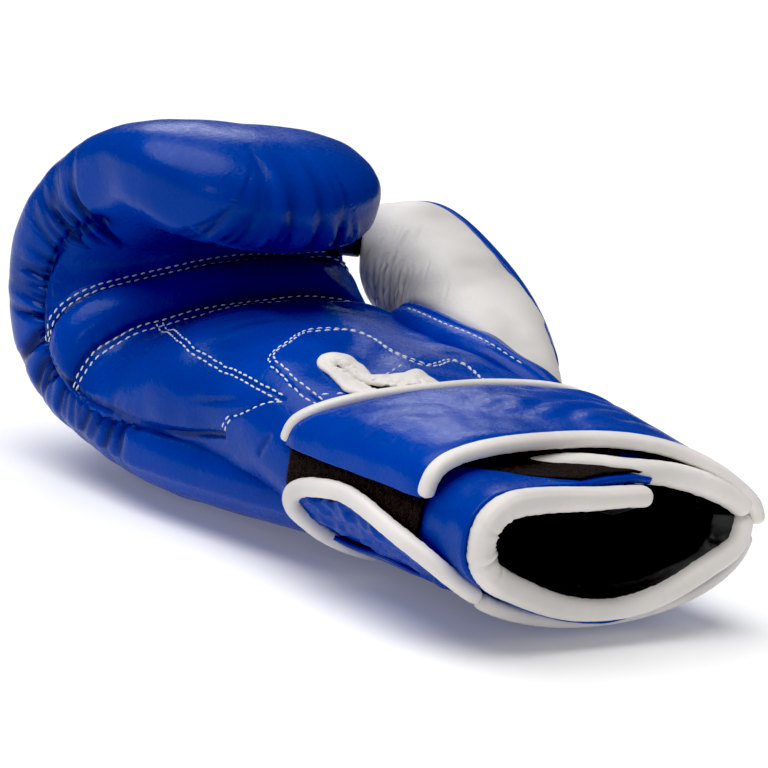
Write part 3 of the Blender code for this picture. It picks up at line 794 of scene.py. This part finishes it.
# Bound edge of the slit: outer side of the binding, and the side where the two lips meet
SLIT_OUTER = [
    (-33.3, -67.3, 64.3), (-35, -63.5, 64.7), (-36.6, -60.1, 65.2), (-35.8, -53, 67.1),
    (-35.5, -46.7, 68.3), (-35.5, -43, 69.4), (-32.9, -40.2, 71.1), (-29.3, -40.3, 71.8), (-25, -43, 71.7),
    (-23.4, -47.9, 70.5), (-23.8, -53.7, 69.2), (-24.2, -58.3, 68.3), (-20.4, -59.8, 68.9),
    (-15.3, -61.2, 69.5), (-9.7, -60.2, 70.6), (-6.7, -60.7, 70.6), (-6.1, -65.7, 69.1),
    (-5.5, -72.3, 67.7),
]
SLIT_INNER = [
    (-29, -69, 65.3), (-28.8, -64.5, 66.1), (-29.7, -58.7, 66.8), (-30.2, -53, 67.9), (-31.3, -49.3, 68.5),
    (-32.3, -47.8, 68.8), (-32, -46.9, 69.1), (-31.2, -46.5, 69.3), (-30.2, -46.9, 69.3),
    (-29.6, -50, 68.4), (-29.4, -54.5, 67.6), (-29, -58.3, 67), (-27.3, -64, 66.5), (-24, -68, 66.8),
    (-20.6, -70.2, 66.9), (-17.5, -71, 67.3), (-14, -72, 67.5), (-10, -73.5, 67.3),
]
SLIT_SHORT = [[(-44, -56, 62.6), (-36.8, -61.5, 64.6)], [(-19, -57.5, 69.5), (-8, -53, 71.5)]]
BASE_EDGE = [
    (49.5, 30, 66), (49.8, 24, 71), (49.7, 20, 75), (49.4, 11.7, 77), (49, -1, 77), (48.8, -16, 76),
    (49.6, -30, 75), (50.8, -44, 71.8), (53.4, -52, 69.6), (57.7, -61, 64.3),
]
BASE_FOOT = [
    (44, 31, 64), (42, 24, 68), (40.5, 19, 69.5), (38.5, 5, 69), (38, -8.8, 69), (38, -20, 69.5),
    (38, -30.6, 69.6), (40, -40, 69), (43, -50, 66), (47, -61, 61),
]
line1, line2 = line_of(ROLL_FRONT[1:-1], 1.5), line_of(ROLL_BACK[1:-1], 1.5)

palm_grid = palm_all[: ROW_BACK + 1]
x, y, z = np.moveaxis(palm_grid, -1, 0)
broad = 0.5 * waves(palm_grid, 48, 21) + 0.14 * waves(palm_grid, 15, 22)
broad = broad - 2.0 * np.exp(-(((x - 24) / 17) ** 2) - ((y + 10) / 26) ** 2)
lift = groove(palm_grid, line_of(DIAGONAL), 0.55, 0.8) + groove(palm_grid, line_of(BACK_SEAM), 0.5, 0.8)
lift = lift + groove(palm_grid, line_of(DART), 0.7, 1.2)
loop = line_of(SLIT_LOOP)
d_loop, _ = to_line(palm_grid, loop)
lift = lift + np.where(inside(palm_grid, loop[:, :2]), 0.7 * smooth(d_loop / 1.2), 0)
lift = lift + groove(palm_grid, loop, 0.4, 0.8) + groove(palm_grid, line_of(SLIT_INNER), 0.7, 4)
PALM_FOLDS = [
    [(-30, 38, 69), (-14, 33, 73.5), (4, 28, 77), (20, 24, 77)],
    [(-36, 40, 68), (-20, 30, 73), (-6, 20, 76.5)],
    [(-20, 36, 72), (-2, 27, 77), (16, 16, 78), (30, 6, 77)],
    [(-48, 22, 67), (-34, 14, 74), (-18, 10, 77)],
    [(-50, 8, 65), (-38, 2, 72), (-22, -2, 76)],
    [(8, 4, 77.5), (22, -6, 76), (34, -18, 75)],
    [(-57, 30, 50), (-54, 22, 58), (-49, 14, 65)],
    [(20, -40, 76), (32, -48, 76), (42, -58, 74)],
    [(12, -34, 76), (26, -38, 76), (38, -44, 75)],
    [(-58, -4, 48), (-57.5, -20, 52), (-56, -34, 56)],
]
for k, fold in enumerate(PALM_FOLDS):
    lift = lift + crease(palm_grid, line_of(fold), 0.7 - 0.03 * k, 1.4 + 0.12 * (k % 3))
lift = lift + pleats(palm_grid, line2, 31, 5.0, 9, 0.35, 0.1, 0.95)
palm_lift = np.zeros(palm_all.shape[:2])
FADE_ROWS = 9
fade = smooth((ROW_BACK - np.arange(ROW_BACK + 1)) / FADE_ROWS)[:, None]
palm_lift[: ROW_BACK + 1] = lift * fade

SEAM_FROM, ROLLS_FROM = 100, 150        # first rows that the shell's seam and the roll's two seams mark
by_rolls = palm_all[ROLLS_FROM:]
palm_lift[SEAM_FROM:] += groove(palm_all[SEAM_FROM:], seam, 1.4, 1.5)
palm_lift[ROLLS_FROM:] += groove(by_rolls, line2, 1.2, 1.6)
palm_lift[ROLLS_FROM:] += groove(by_rolls, line1, 1.3, 1.6)
palm_lift[ROLLS_FROM:] += pleats(by_rolls, gathered, 45, 3.7, 5, 0.5)
rolled = palm_all[ROW_BACK:]
palm_lift[ROW_BACK:] += pleats(rolled, line2, 43, 5.5, 5, 0.3) + pleats(rolled, line1, 44, 5.5, 6, 0.35)
# painted shade: the grooves, creases and pleats of the palm side are also darkened in colour, more where they
# are deeper
palm_fold_shade = np.clip(-palm_lift / 1.6, 0, 1)
palm_lift[: ROW_BACK + 1] += broad * fade
palm_lift[ROW_BACK:] += 0.25 * waves(rolled, 30, 41) * smooth(np.arange(len(rolled)) / FADE_ROWS)[:, None]
palm_moved = palm_all - grid_normals(palm_all) * palm_lift[..., None]


def skin(name, first, last):
    """Part of the palm side between two rows, which share their edges with their neighbours."""
    grid = palm_moved[first : last + 1]
    faces = quads(len(grid), COLS, flip=True)
    return mesh_object(name, grid.reshape(-1, 3), faces, BLUE, palm_fold_shade[first : last + 1])


palm_skin = skin("palm_leather_skin", 0, ROW_BACK)
grip_skin = skin("grip_roll", ROW_BACK, ROW_FRONT)
pocket_skin = skin("finger_pocket_skin", ROW_FRONT, len(palm_all) - 1)

# ---- thumb
thumb_s = density([(0, 0.6), (1, 1.2), (1.8, 2.4), (4.2, 2.4), (4.8, 2.5)], 230)
thumb_v = density([(0, 0.5), (80, 1.0), (120, 2.6), (225, 2.6), (250, 0.8), (360, 0.5)], 291)[:-1]
thumb_grid = thumb(thumb_s[:, None], thumb_v[None, :])
x4, y4, z4, a4, b4 = THUMB_AT(THUMB_END)
way4 = unit((THUMB_AT(THUMB_END) - THUMB_AT(THUMB_END - 0.02))[:3])
side4 = unit(np.cross(way4, [0, 0, 1.0]))
lift4 = np.cross(side4, way4)
tip = []
for turn in np.radians(np.linspace(0, 87, 12)[1:]):
    p, q = oval(thumb_v, a4 * math.cos(turn), b4 * math.cos(turn), 2.2)
    tip.append(np.array([x4, y4, z4]) + way4 * 4.0 * math.sin(turn) + p[:, None] * side4 + q[:, None] * lift4)
thumb_grid = np.concatenate([thumb_grid, np.array(tip)])
lift = 0.4 * waves(thumb_grid, 42, 61) + 0.07 * waves(thumb_grid, 12, 62)
rng = np.random.default_rng(63)
# creases that run from the thumb's foot round its inner side
for share in np.linspace(0, 1, 46):
    s0, v0 = 2.2 + 1.1 * share + rng.uniform(-0.05, 0.05), 196 + 12 * share + rng.uniform(-5, 5)
    s1, v1 = s0 + rng.uniform(0.25, 0.7) - 0.2 * share, v0 - rng.uniform(14, 52)
    sm, vm = (s0 + s1) / 2 + rng.uniform(-0.05, 0.05), (v0 + v1) / 2 + rng.uniform(-5, 5)
    path = thumb(np.array([s0, sm, s1]), np.array([v0, vm, v1]))
    lift = lift + crease(thumb_grid, line_of(path), rng.uniform(0.15, 0.5), rng.uniform(0.5, 0.95), 0.5)
# and short faint ones anywhere on that side
for _ in range(26):
    s0, v0 = rng.uniform(2.0, 3.9), rng.uniform(140, 225)
    path = thumb(np.array([s0, s0 + 0.1, s0 + 0.24]), np.array([v0, v0 - 7, v0 - 17]) + rng.uniform(-4, 4, 3))
    lift = lift + crease(thumb_grid, line_of(path), rng.uniform(0.08, 0.22), rng.uniform(0.5, 0.9), 0.4)
lift = lift + groove(thumb_grid, line_of(BASE_EDGE, 1.2), 0.8, 2.0)
thumb_moved = thumb_grid + grid_normals(thumb_grid, closed=True) * lift[..., None]
# painted shade: the thumb's creases and the groove by its base are also darkened in colour
thumb_skin = closed_tube("thumb_skin", thumb_moved, WHITE, np.clip(-lift / 1.6, 0, 1))

# blue leather along the back of the thumb
STRIP_FOOT = -40
strip_s = np.linspace(1.55, 4.78, 120)
STRIP_TOP = [(1, 46), (1.7, 50), (2.1, 58), (2.6, 72), (3, 77), (3.4, 78), (3.9, 82), (4.3, 84), (4.75, 88)]
strip_top = np.interp(strip_s, *zip(*STRIP_TOP))[:, None]
strip_share = np.linspace(0, 1, 40)[None, :]
strip_v = STRIP_FOOT + (strip_top - STRIP_FOOT) * strip_share
strip_grid = thumb(strip_s[:, None], strip_v, 1.0 - 0.7 * strip_share**8)
strip = shell("thumb_back_leather", strip_grid, BLUE, 1.2)

# blue base of the thumb: a low mound between the palm and the white leather
edge, foot = spaced(BASE_EDGE, 110), spaced(BASE_FOOT, 110)
outer = unit(np.array([-1.0, -0.25, 0.75]))
mound = []
for share in np.linspace(-0.16, 1.12, 26):
    bulge = 2.6 * math.sin(math.pi * min(max(share, 0), 1)) ** 0.75
    lip = 1.5 * math.exp(-(((share - 0.04) / 0.1) ** 2)) + 1.0 + 12 * min(share, 0)
    mound.append(edge + (foot - edge) * share + outer * (bulge + lip))
mound = np.array(mound)
lift = 0.2 * waves(mound, 16, 71)
base_skin = shell("thumb_base_leather", mound + outer * lift[..., None], BLUE, 1.0)


# ---- cuff
def gathers(seed, strength, pitch):
    """Uneven puckers along the inner side of a rolled edge."""
    rates = (1.0, 0.63, 1.41, 0.27, 2.1, 0.11)
    phases = np.random.default_rng(seed).uniform(0, 6.3, len(rates))

    def at(run, angle):
        wave = sum(np.sin(2 * np.pi * run / pitch * f + p) for f, p in zip(rates, phases)) / 3
        return strength * (0.65 - 0.35 * np.sin(np.radians(angle))) * wave

    return at


CUFF_MID = np.array([9.0, -149.0, 35.0])
RING_SEAM = 128                 # where round the ring's section its binding is sewn down, in degrees


def outward(line):
    """Directions away from the middle of the cuff, level with its mouth."""
    return unit((line - CUFF_MID) * [1, 0, 1])


ring_line = spaced([(x, CUFF_MID[1] + 0.02 * (x - CUFF_MID[0]), z) for x, z in RING], 260)
ring_out = outward(ring_line)
ring_high = 3.45 + 0.9 * np.clip(-ring_out[:, 0], 0, 1) ** 3
bent = np.exp(-(((ring_line[:, 0] + 45) / 14) ** 2) - ((ring_line[:, 2] - 36) / 13) ** 2)


def ring_ripple(run, angle):
    share = np.interp(run, np.linspace(0, run.max(), len(bent)), bent)
    dent = -0.05 * np.exp(-(((angle - RING_SEAM) % 360 / 9) ** 2))
    return gathers(91, 0.03, 7)(run, angle) + gathers(94, 0.16, 3.4)(run, angle) * share + dent


ring_roll = sweep("cuff_ring", ring_line, ring_out, 4.1, ring_high, PIPING, sides=40, ripple=ring_ripple)


def wall(line, out_, off_near, off_far, share, far=-92.0):
    """Cuff wall from its mouth edge to the palm body, at a distance outside the edge line."""
    v = np.degrees(np.arctan2(out_[:, 2] / 26, out_[:, 0] / 61)) % 360
    deep = ring(BODY_AT, far, v, off_far)
    near = line + out_ * off_near
    share = share[:, None, None]
    return near[None] * (1 - share) + deep[None] * share


CUFF_ROWS = 60
cuff_share = np.linspace(0, 1, CUFF_ROWS)
cuff_grid = wall(ring_line + [0, 2.5, 0], ring_out, 3.1, 0.4, cuff_share)
cuff_grid = cuff_grid + ring_out[None] * (0.4 * np.sin(np.pi * cuff_share))[:, None, None]
lift = 0.35 * waves(cuff_grid, 30, 81) + 0.1 * waves(cuff_grid, 11, 84)
cuff_grid = cuff_grid + ring_out[None] * lift[..., None]
cuff_skin = shell("cuff_wall", cuff_grid, BLUE, 2.2, flip=True)
in_share = np.linspace(0, 1, 90) ** 1.5
lining_grid = wall(ring_line + [0, 0.5, 0], ring_out, -1.6, -9, in_share, far=-78.0)
cushion = 5.2 * np.exp(-(((in_share - 0.075) / 0.055) ** 2)) - 1.5 * np.exp(-(((in_share - 0.2) / 0.06) ** 2))
lining_grid = lining_grid - ring_out[None] * cushion[:, None, None]
fold = 0.3 * waves(lining_grid * [1, 0.35, 1], 15, 82) + 0.1 * waves(lining_grid, 5, 83)
fold = fold * smooth(in_share / 0.08)[:, None]
lining_skin = shell("cuff_lining_satin", lining_grid - ring_out[None] * (fold + 0.4)[..., None], SATIN, 0.8)

hand_turn = np.radians(np.linspace(0, 88, 10))
hand_y = np.concatenate([np.linspace(-97, 8, 50), 8 + 15 * np.sin(hand_turn[1:])])
hand_shrink = np.concatenate([np.zeros(50), 1 - np.cos(hand_turn[1:])])
hand_off = (-10 * hand_shrink)[:, None]
hand_grid = ring(HAND_AT, hand_y[:, None], np.linspace(0, 360, 121)[None, :], hand_off)
hand_lining = shell("hand_lining_satin", hand_grid, SATIN, 0.5, flip=True)

lap_line = spaced(LAP, 150)
lap_out = outward(lap_line)
LAP_SHARES = np.linspace(0, 1, 150)
lap_wide = np.interp(LAP_SHARES, [0, 0.2, 0.45, 0.75, 1], [2.4, 3.9, 4.6, 4.5, 3.8])
lap_high = np.interp(LAP_SHARES, [0, 0.2, 0.45, 0.75, 1], [2.2, 3.2, 3.9, 4.2, 3.8])
lap_puckers = gathers(92, 0.04, 9)
lap_roll = sweep("cuff_lap_edge", lap_line, lap_out, lap_wide, lap_high, PIPING, sides=26, ripple=lap_puckers)
lap_grid = wall(lap_line + [0, 2, 0], lap_out, 2.8, 2.6, np.linspace(0, 1, 50))
lap_skin = shell("cuff_lap", lap_grid, BLUE, 1.6, flip=True)
lap_in = wall(lap_line + [0, 1, 0], lap_out, -2.2, 0.6, np.linspace(0, 1, 40))
lap_lining = shell("cuff_lap_satin", lap_in, SATIN, 0.8)


# ---- closure strap
U = np.linspace(0, 1, 230)
fist_line, cuff_line = spaced(STRAP_FIST, len(U)), spaced(STRAP_CUFF, len(U))
strap_out = unit(np.cross(cuff_line - fist_line, np.gradient((fist_line + cuff_line) / 2, axis=0)))
T = np.linspace(0.01, 0.99, 80)[:, None, None]
panel_grid = fist_line[None] * (1 - T) + cuff_line[None] * T
crown = 0.5 * np.sin(np.pi * T[..., 0]) ** 0.75 * smooth(U / 0.05)[None, :]
lift = crown + 0.3 * waves(panel_grid, 36, 101) + 0.1 * waves(panel_grid, 12, 102)
STRAP_FOLDS = [
    [(6, -118, 69), (16, -113, 70), (28, -110, 69.5), (38, -110, 68)],
    [(12, -104, 71), (24, -101, 71), (36, -101, 69), (46, -104, 65)],
    [(-6, -112, 70), (4, -108, 71), (14, -106, 71)],
    [(26, -122, 68), (36, -118, 67.5), (47, -117, 64)],
    [(30, -95, 71), (42, -95, 68.5), (52, -98, 63)],
    [(-20, -98, 69.5), (-8, -94, 71), (4, -93, 71.5)],
    [(8, -90, 71.5), (20, -88, 71.5), (32, -88, 70.5)],
]
for k, bend in enumerate(STRAP_FOLDS):
    lift = lift + crease(panel_grid, line_of(bend), 0.7 - 0.04 * k, 2.8, 0.6)
lift = lift - 1.5 * np.exp(-((T[..., 0] / 0.07) ** 2)) - 0.9 * np.exp(-(((T[..., 0] - 1.0) / 0.05) ** 2))
panel_grid = panel_grid + strap_out[None] * lift[..., None]
strap_skin = shell("strap_leather", panel_grid, BLUE, 2.4, flip=True)


def roll(name, line, out_, wide, high, seed, strength=0.03, pitch=7):
    return sweep(name, line, out_, wide, high, PIPING, ripple=gathers(seed, strength, pitch))


piping_fist = roll("strap_edge_fist", fist_line + [0, 0.8, 0.7], strap_out, 2.1, 2.1, 111)
cuff_wide = np.interp(U, [0, 0.15, 0.4, 0.8, 1], [2.6, 3.0, 3.2, 3.6, 3.4])
piping_cuff = roll("strap_edge_cuff", cuff_line, strap_out, cuff_wide, 2.6, 112)

# loop tape from under the strap round the little-finger side
tape_grid = patch(TAPE_ROWS, 70, 70)
tape_grid = tape_grid + 0.1 * waves(tape_grid, 2.6, 121)[..., None] * np.array([-0.8, 0, 0.5])
tape = shell("loop_tape_nap", tape_grid, TAPE, 1.0)
# the same tape where it lies on the cuff's wall, from just behind the ring to the palm body
over_cols = np.arange(95)
first = np.interp(over_cols, [0, 29, 45, 60, 68, 94], [1, 2, 7, 17, 24, 30])
where = first + (CUFF_ROWS - 1.1 - first) * np.linspace(0, 1, 45)[:, None]
low, part = where.astype(int), (where % 1)[..., None]
over = cuff_grid[low, over_cols] * (1 - part) + cuff_grid[low + 1, over_cols] * part
over = over + ring_out[over_cols] * 2.7
tape_over = shell("loop_tape_over_cuff", over, TAPE, 0.8, flip=True)

# flap from the back, with its rolled edge
flap_line = line_of(FLAP, 1.0)
flap_out = (flap_line - [12, 0, 37]) * [1, 0, 1]
flap_wide = np.interp(np.linspace(0, 1, len(flap_line)), [0, 0.3, 0.6, 1], [2.8, 3.2, 3.0, 2.8])
flap_roll = roll("flap_edge", flap_line, flap_out, flap_wide, 2.7, 133, 0.05, 6)
flap_grid = patch(FLAP_ROWS, 120, 100)
crush = 1.0 * waves(flap_grid, 14, 131) + 0.55 * waves(flap_grid, 6.5, 132) + 0.2 * waves(flap_grid, 3, 134)
flap_grid = flap_grid + (crush * 0.45)[..., None] * np.array([-0.8, 0, -0.6])
flap_skin = shell("flap_leather", flap_grid, BLUE, 1.4)
hook = shell("hook_face", (flap_grid - 1.6 * grid_normals(flap_grid))[16:86:2, 16:106:2], HOOKS, 0.8)

# back strap round the back of the wrist
back_grid = ring(WRAP_AT, np.linspace(-140, -72, 60)[:, None], np.linspace(221, 362, 200)[None, :], 0.6)
back_grid = back_grid + grid_normals(back_grid) * (0.3 * waves(back_grid, 26, 141))[..., None]
back_grid[..., 2] = np.maximum(back_grid[..., 2], FLOOR + 0.3)
back_strap = shell("back_strap_leather", back_grid, BLUE, 1.6)
back_edge = ring(WRAP_AT, -141.0, np.linspace(217, 362, 200), 0.2)
piping_back = roll("back_strap_edge", back_edge, back_edge - [12, -142, 34], 2.8, 2.7, 142)

# ---- tether from the fist to the thumb
tab_s = np.linspace(0, 1, 24)
tab_line = np.column_stack([31 + 29 * tab_s, 46 + 20 * tab_s, 95 - 5 * tab_s])
tab_out = np.tile([-0.56, 0.82, 0.1], (24, 1))
tab = sweep("tether_tab", tab_line, tab_out, 5.4, 1.3, NAVY, sides=20, power=4, tip=False)

# ---- slit
# the white band round it, from the outer to the inner side of its bound lips
LIP_KNOTS = len(SLIT_OUTER) - 1
lip_at = np.linspace(0, LIP_KNOTS, 240)
lip_outer, lip_inner = (
    spline(np.column_stack([np.arange(LIP_KNOTS + 1.0), side]))(lip_at) for side in (SLIT_OUTER, SLIT_INNER)
)
T = np.linspace(0, 1, 22)[:, None]
lips = lip_outer[None] * (1 - T[..., None]) + lip_inner[None] * T[..., None]
flare = smooth((lip_at - 11.5) / 1.5)
puff = (1 - (2 * T - 1) ** 4) ** 0.5 * np.interp(lip_at, [0, 5, 8, 17], [0.9, 0.9, 1.7, 1.7])
puff = puff * (1 - 0.75 * flare * T)
puff = puff + 0.12 * waves(lips, 5, 151) + 0.2 * waves(lips, 2.4, 152) * smooth(T * 3 - 1.4)
gape = np.interp(lip_at, [0, 6, 7.5, 8.5, 9.6, 11.2, 12.2, 15, 17], [0, 0, 0.9, 1.3, 0.5, 0.5, 1.5, 1.9, 1.5])
puff = puff + gape * T
lip_skin = shell("slit_lips", lips + np.array([-0.2, -0.25, 0.95]) * puff[..., None], PIPING, 0.9, flip=True)
# the dark between the lips: a ribbon of the lining's black satin from one lip to the other, dark partly for
# the black lining inside and partly as painted shade down the slit
slit_near = SLIT_INNER[5::-1] + [(-22, -75, 65.6), (-10, -77, 66)]
slit_far = SLIT_INNER[7:12:2] + SLIT_INNER[12:16]
slit_grid = np.stack([spaced(slit_near, 60), spaced(slit_far, 60)])
slit_grid[0, :, 2] += 0.25
slit_grid[1, :, 2] += np.interp(np.arange(60), [0, 8, 20, 30, 38, 59], [1.5, 1.3, 0.4, 0.5, 1.9, 2.0])
slit_lining_and_shade = shell("slit_mouth", slit_grid, SATIN, 0.4)

# ---- stitches
palm_tree = tree_of(palm_skin)
palm_side = skin("palm_side", 0, len(palm_all) - 1)
all_tree = tree_of(palm_side)
bpy.data.objects.remove(palm_side, do_unlink=True)
for rise in (0.3, 2.3):
    stitch(all_tree, [(p[0], p[1] + 0.4, p[2] + 0.4) for p in ROLL_FRONT[1:-3]], rise, slant=0.1)
double(all_tree, [(p[0], p[1] - 1.0, p[2]) for p in ROLL_BACK[1:-4]], 1.1, slant=0.12, spread=1.2)
double(palm_tree, DIAGONAL)
stitch(palm_tree, BACK_SEAM, 0.8)
double(palm_tree, BACK_END, 0.8)
double(palm_tree, SLIT_LOOP, spread=1.4)
for short in SLIT_SHORT:
    stitch(palm_tree, short)
base_tree = tree_of(base_skin)
stitch(base_tree, [tuple(e + (f - e) * 0.3 + outer * 3) for e, f in zip(edge[22:98:6], foot[22:98:6])])
stitches = mesh_object("stitches", np.concatenate(STITCH_POINTS), STITCH_FACES, THREAD)


# ---- what moves with what
KNUCKLE_NODES = ("knuckle_leather", "knuckle_foam_outer", "knuckle_foam_inner")
PALM_NODES = ("palm_leather", "side_panel", "wrist_side_panel", "slit_patch", "palm_foam")


def piece(obj, paint, *nodes, on="glove", pad=None):
    """Tie a visible piece to its body, or bake a flap piece in place, and hide the solids that it stands for.
    The paint is not used.
    """
    if on == "back_flap":
        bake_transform(obj)
    else:
        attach(obj, on)
    if nodes:
        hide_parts(*nodes)


piece(shell_skin, "blue_leather", *KNUCKLE_NODES, pad=0.9)
piece(palm_skin, "blue_leather", *PALM_NODES, pad=0.8)
piece(grip_skin, "blue_leather", "grip_cover", "grip_roll_foam", pad=0.9)
piece(pocket_skin, "blue_leather", "finger_pocket_leather", pad=0.7)
piece(thumb_skin, "white_leather", "thumb_leather", "thumb_foam", "thumb_lining", pad=0.9)
piece(strip, "blue_leather", "thumb_back_strip")
piece(base_skin, "blue_leather", "thumb_base_panel")
piece(tab, "navy_tether", "thumb_tether")
piece(cuff_skin, "blue_leather", "cuff_leather", "cuff_foam")
piece(lining_skin, "black_satin", "cuff_lining")
piece(ring_roll, "white_piping", "cuff_binding")
piece(lap_skin, "blue_leather", "cuff_overlap", on="cuff_lap")
piece(lap_lining, "black_satin", "cuff_overlap_lining", on="cuff_lap")
piece(lap_roll, "white_piping", "cuff_overlap_binding", on="cuff_lap")
piece(strap_skin, "blue_leather", "strap_panel", "strap_panel_foam", on="palm_strap", pad=0.6)
piece(piping_fist, "white_piping", "strap_piping_fist", on="palm_strap")
piece(piping_cuff, "white_piping", "strap_piping_cuff", on="palm_strap")
piece(tape, "loop_tape", "loop_tape")
piece(tape_over, "loop_tape")
piece(hand_lining, "black_satin", "hand_lining")
piece(flap_skin, "blue_leather", "strap_flap", on="back_flap")
piece(flap_roll, "white_piping", "strap_flap_piping", on="back_flap")
piece(hook, "hook_tape", "hook_patch", on="back_flap")
piece(back_strap, "blue_leather", "strap_back")
piece(piping_back, "white_piping", "strap_back_piping")
piece(lip_skin, "white_piping", "slit_binding")
piece(slit_lining_and_shade, "black_satin")
piece(stitches, "white_piping")


# ---- stage, camera, light
# the camera is turned about the glove, raised above level and rolled by these degrees
spin = Matrix.Identity(4)
for degrees, axis in ((-39, "Z"), (90 - 11.5, "X"), (8, "Z")):
    spin = spin @ Matrix.Rotation(math.radians(degrees), 4, axis)
CAMERA_AT = (-0.58333, -0.72233, 0.24072)
camera = put("camera", bpy.data.cameras.new("camera"))
camera.matrix_world = Matrix.Translation(CAMERA_AT) @ spin
camera.data.lens = 126.56
camera.data.sensor_width = 36
camera.data.clip_end = 100
bpy.context.scene.camera = camera


def lamp(name, at, power, spread):
    """Broad soft light from far away, shining from a place towards the glove."""
    light = bpy.data.lights.new(name, "SUN")
    light.energy = power
    light.angle = math.radians(spread)
    put(name, light).rotation_euler = (-Vector(at)).to_track_quat("-Z", "Y").to_euler()


lamp("key", (-0.25, 0.1, 1.0), 2.85, 60)
lamp("front", (-0.62, -0.7, 0.36), 0.22, 9)
lamp("back", (0.42, 0.75, 0.52), 0.32, 22)

world = bpy.data.worlds.new("studio")
world.use_nodes = True
fill_in(world.node_tree.nodes["Background"], Color=(1, 1, 1, 1), Strength=0.07)
bpy.context.scene.world = world
view = bpy.context.scene.view_settings
view.view_transform = "Standard"
view.use_curve_mapping = True
view.curve_mapping.black_level = (0.011, 0.011, 0.011)
view.curve_mapping.update()

bpy.ops.mesh.primitive_plane_add(size=40, location=(0, 0, -0.0005))
floor = bpy.context.object
floor.name = "floor"
paper = bpy.data.materials.new("paper")
paper.use_nodes = True
pale = paper.node_tree.nodes["Principled BSDF"]
fill_in(pale, Base_Color=(0.95, 0.95, 0.95, 1), Roughness=0.9)
fill_in(pale, Emission_Color=(1, 1, 1, 1), Emission_Strength=0.14)
floor.data.materials.append(paper)
